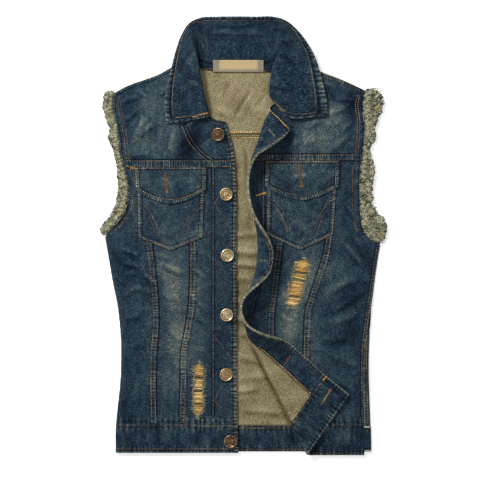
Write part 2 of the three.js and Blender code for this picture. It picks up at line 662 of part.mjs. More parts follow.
// Chest pockets and their flaps lie on the front, made from its points moved out.
const POCKETS = {
  left: {
    x: -122, top: 101, corner: -2, tip: -24, half: 56, lean: -0.5,
    flapTop: 115, flapSide: 78, flapTip: 54, flapHalf: 59.5,
  },
  right: {
    x: 99, top: 112, corner: 3, tip: -23, half: 58, lean: -4,
    flapTop: 126, flapSide: 84, flapTip: 60, flapHalf: 62,
  },
};
const PATCH_LIFT = CLOTH / 2 + GAP + PATCH / 2;
const FLAP_LIFT = CLOTH / 2 + GAP + PATCH + GAP + FLAP / 2;
function pointed(x, top, corner, tip, half, lean, round) {
  // The lower edge runs from one corner down to the tip and up again; round softens it.
  const lower = (u) => {
    const off = Math.abs(2 * u - 1);
    return mix(tip, corner, mix(off, off * off, round));
  };
  return (u, v) => {
    const y = mix(lower(u), top, v);
    const narrow = 1 - 0.045 * (1 - v) * (1 - round);
    return new THREE.Vector2(x + (2 * u - 1) * half * narrow + lean * (1 - v), y);
  };
}
function pocketPatch(p, lift) {
  const flat = pointed(p.x, p.top, p.corner, p.tip, p.half, p.lean, 0.1);
  return wall(onFront(flat), 8, 6, PATCH, lift);
}
function pocketFlap(p, lift) {
  const flat = pointed(p.x, p.flapTop, p.flapSide, p.flapTip, p.flapHalf, p.lean / 4, 0.75);
  return wall(onFront(flat), 8, 3, FLAP, lift);
}

// A shank button: a foot on the cloth, a neck and a head with a raised rim.
const BUTTON = { radius: 10.2, height: 4.2, rim: 1.3, foot: 4.5 };
const BUTTONS = [
  { x: -43, y: 170 },
  { x: -29, y: 70 },
  { x: -27, y: -32.5 },
  { x: -28, y: -132.5 },
  { x: -29, y: -232.5 },
  { x: -22, y: -344.5 },
];
function button() {
  const { radius, height, rim, foot } = BUTTON;
  const profile = [
    [0, 0],
    [foot, 0],
    [foot * 0.8, 1.2],
    [radius - 1, 1.8],
    [radius, 3],
    [radius - rim * 0.6, height],
    [radius - rim * 1.8, height - 1],
    [0, height - 0.4],
  ];
  const lathe = new THREE.LatheGeometry(profile.map(([x, y]) => new THREE.Vector2(x, y)), 14);
  return lathe.rotateX(Math.PI / 2);
}

// A frayed armhole edge: a narrow strip beside the cloth's edge with tapered locks that stand out of it.
function hash(n) {
  const s = Math.sin(n * 127.1 + 311.7) * 43758.5453;
  return s - Math.floor(s);
}
// A three-sided lock of threads: from its root it swells, bends and ends in a blunt tip.
const LOCK_RINGS = [
  { along: 0, size: 0.8, rise: 0, twist: 0 },
  { along: 0.55, size: 1.25, rise: 1, twist: 1 },
  { along: 1, size: 0.6, rise: 0.5, twist: 0.4 },
];
const LOCK_RADIUS = 2.1;
function lock(root, outward, length, rise, twist) {
  const up = new THREE.Vector3(0, 0, 1);
  const sideways = new THREE.Vector3().crossVectors(up, outward).normalize();
  const points = LOCK_RINGS.flatMap((ring) => {
    const centre = root
      .clone()
      .addScaledVector(outward, length * ring.along)
      .addScaledVector(up, rise * ring.rise)
      .addScaledVector(sideways, twist * ring.twist);
    return [0, 1, 2].map((k) => {
      const angle = (k * 2 * Math.PI) / 3 + Math.PI / 2;
      return centre
        .clone()
        .addScaledVector(sideways, LOCK_RADIUS * ring.size * Math.cos(angle))
        .addScaledVector(up, LOCK_RADIUS * ring.size * 0.5 * Math.sin(angle));
    });
  });
  const index = [0, 2, 1, 6, 7, 8];
  for (const base of [0, 3]) {
    for (let k = 0; k < 3; k += 1) {
      const n = (k + 1) % 3;
      index.push(base + k, base + n, base + n + 3, base + k, base + n + 3, base + k + 3);
    }
  }
  const geometry = new THREE.BufferGeometry();
  const flat = points.flatMap((p) => p.toArray());
  geometry.setAttribute("position", new THREE.Float32BufferAttribute(flat, 3));
  geometry.setIndex(index);
  return solid(geometry);
}
// How far out the fray reaches on each side.
const FRAY_REACH = [
  { y: -8, left: -233, right: 233 },
  { y: 2, left: -236, right: 239 },
  { y: 12, left: -240.5, right: 241.5 },
  { y: 31, left: -226, right: 232.5 },
  { y: 45, left: -218.5, right: 218 },
  { y: 69, left: -212, right: 217.5 },
  { y: 86, left: -210.8, right: 216.5 },
  { y: 111, left: -213, right: 220.5 },
  { y: 134, left: -217, right: 214.5 },
  { y: 151, left: -221.5, right: 213 },
  { y: 166, left: -227.5, right: 223 },
  { y: 180, left: -225, right: 221 },
  { y: 200, left: -232.5, right: 227 },
  { y: 225, left: -237, right: 236.5 },
  { y: 246, left: -231, right: 222 },
];
const reach = columnsOf(FRAY_REACH);
const FRAYS = {
  front_left: {
    edge: armhole.left, tip: reach.left, way: -1,
    from: 8, to: 241, z: 4.8, locks: 42, share: 1, rise: 1.6,
  },
  front_right: {
    edge: armhole.right, tip: reach.right, way: 1,
    from: -2, to: 242, z: 4.8, locks: 44, share: 1, rise: 1.6,
  },
  back_left: {
    edge: armhole.backLeft, tip: reach.left, way: -1,
    from: 14, to: 232, z: 1.9, locks: 22, share: 0.8, rise: 0.3,
  },
  back_right: {
    edge: armhole.backRight, tip: reach.right, way: 1,
    from: 10, to: 236, z: 1.9, locks: 24, share: 0.8, rise: 0.3,
  },
};
const STRIP = { start: 1.6, end: 4, thickness: 1.5 };
function fray({ edge, tip, way, from, to, z, locks, share, rise }) {
  const outwardAt = (y) => {
    const slope = (edge(y + 2) - edge(y - 2)) / 4;
    return new THREE.Vector3(way, -way * slope, 0).normalize();
  };
  const onEdge = (y, distance) =>
    new THREE.Vector3(edge(y), y, z).addScaledVector(outwardAt(y), distance);
  const strip = wall((u, v) => {
    const near = way > 0 ? mix(STRIP.start, STRIP.end, u) : mix(STRIP.end, STRIP.start, u);
    return onEdge(mix(from, to, v), near);
  }, 1, 18, STRIP.thickness);
  const made = Array.from({ length: locks }, (_, i) => {
    const y = mix(from + 2, to - 2, i / (locks - 1));
    const swing = 0.7 * (hash(i + 2 * z) - 0.5);
    const level = new THREE.Vector3(way, 0.1, 0);
    const outward = outwardAt(y).lerp(level, 0.85 * smooth((16 - y) / 12)).normalize();
    outward.applyAxisAngle(new THREE.Vector3(0, 0, 1), swing);
    const wanted = Math.abs(tip(y) - edge(y)) * share * mix(0.85, 1.12, hash(3 * i + z));
    const length = Math.max(wanted * Math.abs(outward.x), 7.5) - STRIP.end + 1.4;
    const twist = 4 * (hash(5 * i + z) - 0.5);
    return lock(onEdge(y, STRIP.end - 1.4), outward, length, rise * hash(7 * i + z), twist);
  });
  return geometryOf(made.reduce((sum, one) => sum.add(one), solid(strip)));
}

const NECK_LABEL = {
  left: -51, right: 34, bottom: 275.5, top: 295.5,
  low: 3.5, high: 4.4, thickness: 1,
};
function neckLabel() {
  const { left, right, bottom, top, low, high, thickness } = NECK_LABEL;
  return wall(
    (u, v) => new THREE.Vector3(mix(left, right, u), mix(bottom, top, v), mix(low, high, v)),
    2,
    2,
    thickness,
  );
}

add("back_panel", backPanel(), REVERSE);
add("back_yoke", backYoke(), REVERSE);
add("hem_band_back", backBand(), DARK_DENIM);
add("front_left_side", frontLeftSide(), DENIM);
add("front_left_middle", frontLeftMiddle(), DENIM);
add("front_left_inner", frontLeftInner(), DENIM);
add("front_left_yoke", frontLeftYoke(), DENIM);
add("hem_band_front_left", bandFrontLeft(), DARK_DENIM);
add("front_right_side", frontRightSide(), DENIM);
add("front_right_middle", frontRightMiddle(), DENIM);
add("front_right_inner", frontRightInner(), DENIM);
add("front_right_yoke", frontRightYoke(), DENIM);
add("hem_band_front_right", bandFrontRight(), DARK_DENIM);
add("front_right_facing", facingLower(), DARK_DENIM);
add("front_right_lapel_facing", facingUpper(), DARK_DENIM);
add("collar", collar(), DARK_DENIM);
for (const [name, pocket] of Object.entries(POCKETS)) {
  add(`pocket_${name}`, pocketPatch(pocket, PATCH_LIFT), DENIM);
  add(`pocket_flap_${name}`, pocketFlap(pocket, FLAP_LIFT), DARK_DENIM);
}
for (const [name, rip] of Object.entries(RIPS)) add(`rip_threads_${name}`, ripThreads(rip), GOLD_THREAD);
for (const [name, spec] of Object.entries(FRAYS)) add(`fray_${name}`, fray(spec), FRAY);
add("neck_label", neckLabel(), LABEL);
BUTTONS.forEach(({ x, y }, i) => {
  const onBand = y < BAND_Y;
  const foot = onBand ? FRONT_BAND_Z + BAND / 2 : frontHeight(x, y) + CLOTH / 2;
  add(`button_${i + 1}`, button().translate(x, y, foot + GAP), BRASS);
});

// The origin is in the middle of the finished outline, on the surface the vest lies on.
const middle = new THREE.Box3().setFromObject(vest).getCenter(new THREE.Vector3());
vest.position.set(-middle.x, -middle.y, 0);
export default vest;
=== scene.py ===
"""A washed denim vest laid flat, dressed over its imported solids.

Shapes are worked out in millimetres in the part's own plan, from the same tables as its solids, and each
mesh is made in metres. "left" and "right" are those of the picture.
"""
import math

import bpy
import numpy as np
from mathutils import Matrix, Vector


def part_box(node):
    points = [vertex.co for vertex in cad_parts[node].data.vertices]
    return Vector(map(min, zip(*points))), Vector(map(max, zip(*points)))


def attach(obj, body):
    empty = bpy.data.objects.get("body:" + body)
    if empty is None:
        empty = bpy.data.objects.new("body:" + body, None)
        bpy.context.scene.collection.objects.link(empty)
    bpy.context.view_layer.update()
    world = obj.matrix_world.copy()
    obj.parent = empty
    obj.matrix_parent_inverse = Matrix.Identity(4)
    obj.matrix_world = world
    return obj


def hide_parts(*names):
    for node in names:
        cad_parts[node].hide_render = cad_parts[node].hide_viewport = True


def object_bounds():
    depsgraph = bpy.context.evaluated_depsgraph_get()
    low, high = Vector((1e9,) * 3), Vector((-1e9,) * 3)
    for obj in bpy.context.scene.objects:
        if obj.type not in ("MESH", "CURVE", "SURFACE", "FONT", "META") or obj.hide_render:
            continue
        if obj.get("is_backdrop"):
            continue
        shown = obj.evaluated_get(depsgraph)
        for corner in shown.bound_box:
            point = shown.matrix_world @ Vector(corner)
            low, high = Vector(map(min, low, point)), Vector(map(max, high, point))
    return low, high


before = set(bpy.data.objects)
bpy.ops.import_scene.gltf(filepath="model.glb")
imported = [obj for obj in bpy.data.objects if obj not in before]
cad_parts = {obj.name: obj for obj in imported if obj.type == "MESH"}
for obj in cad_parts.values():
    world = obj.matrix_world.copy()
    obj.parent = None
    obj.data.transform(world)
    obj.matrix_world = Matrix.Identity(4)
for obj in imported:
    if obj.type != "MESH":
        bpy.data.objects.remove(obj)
cad_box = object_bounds()

MM = 0.001
BODY = "root"
# Grid step of the cloth, in millimetres.
STEP = 2.1
BACK_STEP = 3.4

# Cloth thicknesses and levels, as in the solids.
CLOTH = 1.5
BAND = 2.5
PATCH = 1.2
FLAP = 2.0
COLLAR = 2.4
FACING = 1.2
GAP = 0.4
BACK_Z = 0.75
FRONT_Z = 4.2
FRONT_BAND_Z = 4.7
BACK_BAND_Z = 1.25

# Heights of seams and edges in the plan.
HEM_Y = -364
HEM_RIGHT_Y = -368
BAND_Y = -316
BACK_YOKE_Y = 170
YOKE_LEFT_Y = 121.5
YOKE_RIGHT_Y = 132
UNDERARM_LEFT_Y = 1
UNDERARM_RIGHT_Y = -6.5
SHOULDER_LEFT_Y = 240
SHOULDER_RIGHT_Y = 243
TURN = (FRONT_Z - BACK_Z) / 2
BAND_TURN = (FRONT_BAND_Z - BACK_BAND_Z) / 2


class Table:
    """Columns of a table as smooth functions of its first column."""

    def __init__(self, names, rows):
        rows = sorted(rows)
        self.y = np.array([row[0] for row in rows], float)
        self.columns = {
            name: np.array([row[i + 1] for row in rows], float)
            for i, name in enumerate(names.split())
        }

    def __call__(self, name, y):
        ys, values = self.y, self.columns[name]
        last = len(ys) - 1
        before = np.maximum(np.arange(last + 1) - 1, 0)
        after = np.minimum(np.arange(last + 1) + 1, last)
        slopes = (values[after] - values[before]) / (ys[after] - ys[before])
        at = np.clip(np.asarray(y, float), ys[0], ys[-1])
        i = np.clip(np.searchsorted(ys, at) - 1, 0, last - 1)
        step = ys[i + 1] - ys[i]
        t = (at - ys[i]) / step
        return (
            values[i] * (2 * t**3 - 3 * t**2 + 1)
            + slopes[i] * step * (t**3 - 2 * t**2 + t)
            + values[i + 1] * (3 * t**2 - 2 * t**3)
            + slopes[i + 1] * step * (t**3 - t**2)
        )


# The sides: where the outline turns, the cloth turned under at the left, the back's overlap at the right.
side = Table("left right under over", [
    (-366, -213.5, 214, 30, 9),
    (-316, -213.5, 213, 31, 9),
    (-245, -206.5, 211, 37, 8),
    (-195, -205, 210.5, 40, 7),
    (-160, -206.5, 212, 38, 5),
    (-118, -211, 215, 30, 2),
    (-78, -219, 219.5, 20, 0.6),
    (-37, -226, 225.5, 13, 0.4),
    (-6, -231.5, 231, 7, 0.3),
    (2, -233, 232, 6, 0.3),
])
armhole = Table("left right back_left back_right", [
    (-6.5, -233, 230, -233, 231),
    (1.5, -231, 209, -231, 215),
    (15, -222, 202, -224, 206),
    (30, -208, 199, -212, 203),
    (48, -197.5, 197.7, -202, 202),
    (85, -194.4, 197, -199, 201),
    (112, -200, 198, -204, 202),
    (135, -206.8, 201.4, -210, 205),
    (160, -209, 204, -212, 207),
    (195, -215.5, 205, -217, 208),
    (220, -220, 202, -220, 205),
    (243, -217, 207, -217, 208),
])
# Seams and front edges. The right front is given as it would lie unrolled.
seam = Table("outer_l inner_l edge_l inner_r outer_r edge_r", [
    (-368, -150.5, -103, -10, 72, 120, -19),
    (-364, -150.5, -103, -10, 72, 120, -19),
    (-316, -150.7, -102.8, -11, 68, 116, -23),
    (-245, -152, -101, -12, 60, 108, -31),
    (-195, -151, -100, -12, 51, 105.5, -36),
    (-160, -148, -93.5, -12, 46.5, 106.7, -36),
    (-125, -147.5, -88.2, -12, 47.5, 109, -26),
    (-90, -150, -85.5, -12, 52, 120, -15),
    (-42, -155, -84.8, -12.5, 57.5, 136, -9),
    (-8, -159.3, -85.5, -12.5, 61, 143, -7),
    (60, -162, -84, -12.5, 62, 148, -6),
    (121, -164, -81.5, -14.5, 62, 150, -7),
    (132, -164, -81.5, -16, 62, 150, -8),
    (156, -164, -81.5, -19.5, 62, 150, -10),
    (180, -164, -81.5, -26.5, 62, 150, -11.5),
    (205, -164, -81.5, -32, 62, 150, -12),
])
# The line along which the right front edge curls, and the angle it has turned through at its edge.
roll = Table("line curl", [
    (240, 56, 180),
    (218, 49.6, 180),
    (198, 43.5, 178),
    (181, 38.6, 175),
    (155, 32, 148),
    (128, 27, 105),
    (94, 26, 80),
    (60, 29.5, 80),
    (27, 33, 98),
    (-7, 33, 138),
    (-32, 31, 160),
    (-60, 28.5, 150),
    (-82, 25.5, 115),
    (-107, 21, 78),
    (-126, 18, 76),
    (-147, 16, 98),
    (-170, 18, 142),
    (-191, 24.5, 172),
    (-217, 36.5, 180),
    (-250, 53, 180),
    (-284, 70.3, 180),
    (-316, 87, 180),
    (-343, 101, 180),
    (-372, 116, 180),
])
BEND_TIGHT = 15
BEND_LOOSE = 30
SETTLE_LENGTH = 55
SETTLE_HEIGHT = 3.7
# Rounds that find the foot of the square from a point to the roll line.
FOOT_ROUNDS = 14

# The largest folds, as in the solids: middle, direction, half length, half width, height.
FOLDS = [
    (-178, -48, -32, 26, 7, 1.7),
    (-176, -66, 20, 22, 8, 1.4),
    (-190, -240, 80, 60, 9, 1.2),
    (-122, -60, 10, 24, 12, 1.3),
    (-170, 185, 65, 34, 10, 1.6),
    (-118, 180, 95, 40, 12, 1.8),
    (150, 190, 60, 36, 14, 1.8),
    (105, 165, 35, 30, 12, 1.4),
    (172, -30, -48, 40, 10, 1.6),
    (165, -118, 38, 44, 13, 1.7),
    (180, -215, 60, 50, 14, 1.4),
]
# Finer creases of the fronts: start, end, half width and height. A low one is a trough.
CREASES = [
    (-212, -20, -168, -34, 5, 1.8), (-206, -44, -170, -52, 4, 2.0), (-172, -30, -168, -58, 3, 1.6),
    (-170, -60, -140, -84, 3.5, 2.6), (-204, -66, -176, -60, 4, 1.6), (-186, -84, -150, -96, 5, 1.3),
    (-208, -104, -170, -84, 6, 1.3), (-150, -28, -118, -40, 4, 1.3), (-142, -44, -98, -66, 6, 2.0),
    (-140, -96, -106, -110, 6, 1.2), (-204, -140, -168, -128, 6, 1.2), (-202, -190, -160, -176, 7, 1.0),
    (-196, -300, -176, -230, 6, 1.1), (-178, -306, -160, -262, 6, 1.0), (-140, -300, -128, -236, 6, 1.0),
    (-128, -150, -102, -180, 6, 1.1), (-118, -200, -112, -262, 6, 1.0), (-92, -96, -62, -124, 4, 1.6),
    (-84, -130, -56, -150, 5, 1.3), (-92, -186, -56, -196, 5, 1.0), (-88, -56, -58, -74, 4, 1.4),
    (-96, -24, -56, -30, 4, 1.2), (-88, -210, -60, -226, 5, 1.0),
    (-208, 222, -172, 236, 5, 1.6), (-204, 190, -176, 216, 5, 1.8), (-180, 246, -160, 232, 3.5, 2.2),
    (-166, 156, -158, 196, 5, 2.6), (-190, 150, -166, 206, 6, 1.6), (-176, 166, -150, 190, 5, 1.6),
    (-142, 148, -138, 206, 6, 1.8), (-126, 136, -112, 190, 6, 2.0), (-104, 140, -84, 168, 5, 2.2),
    (-96, 182, -74, 200, 5, 2.0), (-70, 146, -50, 168, 5, 1.4), (-150, 236, -112, 258, 7, 1.6),
    (-196, 134, -150, 140, 4, 1.2), (-206, 170, -196, 146, 5, 1.2), (-156, 130, -120, 136, 4, 1.0),
    (86, 250, 118, 238, 5, 1.8), (106, 232, 124, 212, 4, 1.4), (100, 182, 132, 196, 6, 1.5),
    (96, 150, 128, 168, 6, 1.2), (140, 140, 178, 172, 6, 1.5), (134, 200, 176, 218, 6, 1.6),
    (160, 176, 190, 196, 5, 1.4), (148, 232, 192, 230, 5, 1.8), (110, 262, 160, 250, 5, 1.6),
    (176, 146, 190, 176, 5, 1.2), (72, 142, 92, 160, 5, 1.2), (186, 214, 196, 186, 4, 1.3),
    (182, 6, 208, -36, 5, 2.0), (166, -8, 208, -60, 5, 2.4), (134, -100, 200, -64, 7, 2.2),
    (140, -128, 206, -88, 7, 2.0), (144, -150, 206, -122, 7, 1.6), (128, -176, 190, -168, 7, 1.3),
    (136, -196, 202, -222, 7, 1.3), (150, -236, 200, -268, 7, 1.3), (180, -292, 204, -240, 6, 1.2),
    (62, -56, 82, -36, 5, 1.1), (56, -130, 90, -146, 5, 1.1), (60, -96, 84, -106, 4, 1.0),
    (102, -120, 116, -70, 6, 1.2), (172, 60, 192, 22, 5, 1.2), (-188, 60, -178, 14, 5, 1.2),
    (-186, 104, -178, 76, 5, 1.0), (-132, 86, -104, 92, 5, 0.8), (84, 96, 110, 104, 5, 0.8),
]
# Soft folds on the inside of the back, seen between the fronts.
BACK_CREASES = [
    (-36, 2, 50, 6, 6, 1.2), (-36, -22, 44, -30, 6, 1.3), (-30, -46, 46, -50, 5, 1.7),
    (-22, -72, 20, -66, 7, 0.8), (-22, -112, 24, -104, 7, 0.9), (-18, -136, 26, -142, 6, 1.2),
    (-16, -166, 34, -160, 6, 1.0), (-24, -200, 44, -212, 7, 0.9), (-14, -238, 60, -232, 7, 0.9),
    (-20, -262, 30, -256, 5, 1.3), (-14, -290, 80, -298, 6, 1.1), (8, 158, 10, 84, 5, 1.5),
    (-8, 150, -2, 70, 6, 0.8), (20, 254, -18, 188, 5, 1.4), (-12, 262, -34, 232, 6, 0.9),
    (42, 240, 22, 208, 6, 1.0), (-52, 214, -10, 200, 7, 0.8), (14, 60, 18, -10, 6, 0.9),
]

SECTIONS = [
    ((-57, 201, 7), (-60, 199.5, 11), (-88, 194, 9.6), (-129, 189, 8.4)),
    ((-62, 219, 7), (-64, 219, 13), (-90, 218, 11), (-132, 218, 8.4)),
    ((-69.5, 248, 5), (-70.5, 252, 15), (-94, 252, 12), (-128, 252, 8.4)),
    ((-76, 272, 4.6), (-75, 280, 16), (-95, 284, 12.5), (-120, 286, 8)),
    ((-78, 284.5, 3.8), (-80.5, 311, 15), (-95, 311, 11.5), (-113.5, 311, 7)),
    ((-76, 287.5, 3.2), (-84, 333, 12), (-93, 335, 10), (-104.5, 336, 7)),
    ((-71, 286, 2.8), (-80, 342, 8.6), (-85, 350, 8.4), (-91, 357, 7.6)),
    ((-60, 284.6, 1.4), (-66, 325, 4.6), (-68, 346, 6.6), (-71, 366.5, 8)),
    ((-38, 283.4, 1.3), (-41, 324, 3.8), (-42, 346, 6.2), (-43, 368, 8.8)),
    ((-11, 283, 1.3), (-11.5, 324, 3.6), (-11.5, 346, 6.2), (-11.5, 368.3, 9)),
    ((15, 283.4, 1.3), (18, 324, 3.8), (19, 346, 6.2), (20, 368, 8.8)),
    ((37, 284.6, 1.4), (43, 325, 4.6), (46, 346, 6.6), (50, 368, 8)),
    ((50, 286.4, 2.8), (61, 340, 8.6), (66, 350, 8.4), (71, 361.5, 7.6)),
    ((56, 287.5, 3.3), (66.5, 331, 12), (76, 337, 10), (89.5, 346.5, 7)),
    ((59, 284.5, 3.8), (60, 312, 15), (80, 320, 11.5), (105.5, 326, 7)),
    ((57, 271, 4.6), (52, 292, 16), (82, 298, 12.5), (120, 300, 8)),
    ((52.5, 248, 5), (45.5, 262, 15), (80, 262, 12), (132, 262, 8.4)),
    ((50, 232, 5), (44.5, 235, 13), (80, 224, 11), (139.5, 225, 8.4)),
    ((50.5, 224.5, 6.4), (49.5, 226, 12), (75, 199, 10.6), (141, 202, 8.4)),
]

POCKETS = {
    "left": dict(x=-122, top=101, corner=-2, tip=-24, half=56, lean=-0.5,
                 flap_top=115, flap_side=78, flap_tip=54, flap_half=59.5),
    "right": dict(x=99, top=112, corner=3, tip=-23, half=58, lean=-4,
                  flap_top=126, flap_side=84, flap_tip=60, flap_half=62),
}
PATCH_LIFT = CLOTH / 2 + GAP + PATCH / 2
FLAP_LIFT = CLOTH / 2 + GAP + PATCH + GAP + FLAP / 2
RIPS = {
    "left": dict(x=-75.5, y=-258, height=88, width=17, lean=0.02),
    "right": dict(x=91, y=-79, height=80, width=24, lean=0.26),
}
BUTTONS = [(-43, 170), (-29, 70), (-27, -32.5), (-28, -132.5), (-29, -232.5), (-22, -344.5)]

# The solids are centred on the origin: the shift from the plan is read off a button.
button_low, button_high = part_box("button_4")
button_middle = [(button_low.x + button_high.x) / 2, (button_low.y + button_high.y) / 2, 0]
SHIFT = np.array(button_middle) / MM - [*BUTTONS[3], 0]


def smooth(t):
    s = np.clip(t, 0, 1)
    return s * s * (3 - 2 * s)


def mix(a, b, t):
    return a + (b - a) * t


def noise(x, y, seed=0):
    """Smooth noise from -1 to 1 on a lattice of step 1."""
    x, y = np.asarray(x, float), np.asarray(y, float)
    x, y = np.broadcast_arrays(x, y)
    xi, yi = np.floor(x), np.floor(y)
    fx, fy = smooth(x - xi), smooth(y - yi)

    def corner(a, b):
        s = np.sin(a * 127.1 + b * 311.7 + seed * 74.7) * 43758.5453
        return s - np.floor(s)

    low_row = mix(corner(xi, yi), corner(xi + 1, yi), fx)
    high_row = mix(corner(xi, yi + 1), corner(xi + 1, yi + 1), fx)
    return 2 * mix(low_row, high_row, fy) - 1


CREASE_WANDER = 2.2
CREASE_TAPER = 0.35


def crease_bodies(rows, x, y):
    """For each crease: the distance across it, its height along its length, its half width, and the sign
    of the side that lies away from the upper left."""
    for x0, y0, x1, y1, width, height in rows:
        length = math.hypot(x1 - x0, y1 - y0)
        ux, uy = (x1 - x0) / length, (y1 - y0) / length
        along = ((x - x0) * ux + (y - y0) * uy) / length
        across = (y - y0) * ux - (x - x0) * uy + CREASE_WANDER * noise(along * 2.3, 0.5, x0)
        body = smooth(along / CREASE_TAPER) * smooth((1 - along) / CREASE_TAPER) * height
        yield across, body, width, -1 if uy < ux else 1


def crease_sum(rows, x, y):
    total = np.zeros(np.broadcast(x, y).shape)
    for across, body, width, _ in crease_bodies(rows, x, y):
        total += body * np.exp(-((across / width) ** 2))
    return total


def crease_wash_and_shade(rows, x, y):
    """Marks of creases, partly wash and partly painted light: a pale crest towards the upper left, partly a
    painted highlight, and a painted shadow line beside it, away from the upper left.
    """
    total = np.zeros(np.broadcast(x, y).shape)
    for across, body, width, shaded in crease_bodies(rows, x, y):
        away = across * shaded
        total += body * (0.03 * np.exp(-(((away + 0.4 * width) / width) ** 2))
                         - 0.09 * np.exp(-(((away - 0.9 * width) / (0.6 * width)) ** 2)))
    return total


def ellipse(x, y, middle_x, middle_y, half_x, half_y, turn):
    """A soft turned ellipse: 1 in its middle."""
    c, s = math.cos(math.radians(turn)), math.sin(math.radians(turn))
    dx, dy = x - middle_x, y - middle_y
    return np.exp(-(((dx * c + dy * s) / half_x) ** 2) - ((dy * c - dx * s) / half_y) ** 2)


def folds(x, y):
    total = np.zeros(np.broadcast(x, y).shape)
    for fold_x, fold_y, turn, length, width, height in FOLDS:
        total += height * ellipse(x, y, fold_x, fold_y, length, width, turn)
    return total


def front_rise(x, y):
    """How far the front cloth stands above its plain level."""
    from_side = np.minimum(x - side("left", y), side("right", y) - x)
    fade = smooth((from_side - 6) / 22)
    rumple = 0.5 * noise(x / 17, y / 17, 3) + 0.25 * noise(x / 7, y / 7, 5)
    return fade * (folds(x, y) + crease_sum(CREASES, x, y) + rumple)


def front_height(x, y):
    return FRONT_Z + front_rise(x, y)


def stack(x, y, z):
    return np.stack(np.broadcast_arrays(x, y, z), axis=-1).astype(float)


def left_front(x, y, level=0.0, bottom=BACK_Z, turn=TURN):
    """The left front, which turns round the left outline and under."""
    top = front_height(x, y) if level == 0 else FRONT_Z + level + 0 * x
    outline = np.where(y < UNDERARM_LEFT_Y, side("left", y), armhole("left", y))
    past = (outline + turn) - x
    angle = np.clip(past / turn, 0, math.pi)
    rest = np.maximum(past - math.pi * turn, 0)
    bent_x = outline + turn - turn * np.sin(angle) + rest
    rim = FRONT_Z + level
    bent_z = (rim + bottom) / 2 + (rim - bottom) / 2 * np.cos(angle)
    return stack(np.where(past > 0, bent_x, x), y, np.where(past > 0, bent_z, top))


def left_band(x, y):
    return left_front(x, y, FRONT_BAND_Z - FRONT_Z, BACK_BAND_Z, BAND_TURN)


def right_front(x, y, level=0.0):
    """The right front, with the curl of its edge."""
    x, y = np.broadcast_arrays(np.asarray(x, float), np.asarray(y, float))
    foot = y.copy()
    slope = np.zeros_like(foot)
    for _ in range(FOOT_ROUNDS):
        slope = (roll("line", foot + 1) - roll("line", foot - 1)) / 2
        foot = mix(foot, y + (x - roll("line", foot)) * slope, 0.7)
    stretch = np.hypot(1, slope)
    past = (roll("line", foot) - x) * stretch
    turned = np.radians(roll("curl", foot))
    bend = mix(BEND_LOOSE, BEND_TIGHT, np.minimum(turned / math.pi, 1))
    radius = bend / turned
    angle = np.clip(past / radius, 0, turned)
    rest = np.maximum(past - bend, 0)
    reach = radius * np.sin(angle) + rest * np.cos(angle)
    rise = radius * (1 - np.cos(angle)) + rest * np.sin(angle)
    over = smooth((turned - 2.75) / 0.35)
    drop = over * smooth(rest / SETTLE_LENGTH) * (2 * radius - SETTLE_HEIGHT)
    curled = past > 0
    px = np.where(curled, roll("line", foot) - reach / stretch, x)
    py = np.where(curled, foot + reach * slope / stretch, y)
    height = front_height(px, py) + level
    return stack(px, py, np.where(curled, height + rise - drop, height))


def right_band(x, y):
    return right_front(x, y, FRONT_BAND_Z - FRONT_Z)


def back_cloth(x, y, top=FRONT_Z, bottom=BACK_Z, turn=TURN):
    """The back, which comes round the right outline and over on to the front."""
    flat = side("right", y) - turn
    past = np.where(y < UNDERARM_RIGHT_Y, x - flat, -1)
    angle = np.clip(past / turn, 0, math.pi)
    rest = np.maximum(past - math.pi * turn, 0)
    bent_x = flat + turn * np.sin(angle) - rest
    bent_z = (top + bottom) / 2 - (top - bottom) / 2 * np.cos(angle)
    return stack(np.where(past > 0, bent_x, x), y, np.where(past > 0, bent_z, bottom))


def back_band(x, y):
    return back_cloth(x, y, FRONT_BAND_Z, BACK_BAND_Z, BAND_TURN)


def stretch_at(points, t):
    """The stretch of a curve that holds each share t, and how far along the stretch it lies."""
    last = len(points) - 1
    at = np.clip(np.asarray(t, float), 0, 1) * last
    i = np.clip(np.floor(at).astype(int), 0, last - 1)
    return i, (at - i)[..., None]


def catmull(points, t):
    """A centripetal curve through points (k, ..., 3) at the shares t, which broadcast over the rest."""
    points = np.asarray(points, float)
    i, w = stretch_at(points, t)
    ends = np.concatenate([2 * points[:1] - points[1:2], points, 2 * points[-1:] - points[-2:-1]])
    if points.ndim == 2:
        p0, p1, p2, p3 = (ends[i + k] for k in range(4))
    else:
        rest = np.arange(points.shape[1])
        p0, p1, p2, p3 = (ends[i + k, rest] for k in range(4))
    d0, d1, d2 = (
        np.maximum(np.sqrt(np.linalg.norm(b - a, axis=-1, keepdims=True)), 1e-4)
        for a, b in ((p0, p1), (p1, p2), (p2, p3))
    )
    t1 = ((p1 - p0) / d0 - (p2 - p0) / (d0 + d1) + (p2 - p1) / d1) * d1
    t2 = ((p2 - p1) / d1 - (p3 - p1) / (d1 + d2) + (p3 - p2) / d2) * d1
    c2 = -3 * p1 + 3 * p2 - 2 * t1 - t2
    c3 = 2 * p1 - 2 * p2 + t1 + t2
    return p1 + t1 * w + c2 * w**2 + c3 * w**3


def spline(points, t):
    """The plain plan curve through points, at the shares t."""
    points = np.asarray(points, float)
    i, w = stretch_at(points, t)
    p0, p1 = points[np.maximum(i - 1, 0)], points[i]
    p2, p3 = points[i + 1], points[np.minimum(i + 2, len(points) - 1)]
    v0, v1 = (p2 - p0) / 2, (p3 - p1) / 2
    return (
        (2 * p1 - 2 * p2 + v0 + v1) * w**3 + (-3 * p1 + 3 * p2 - 2 * v0 - v1) * w**2 + v0 * w + p1
    )


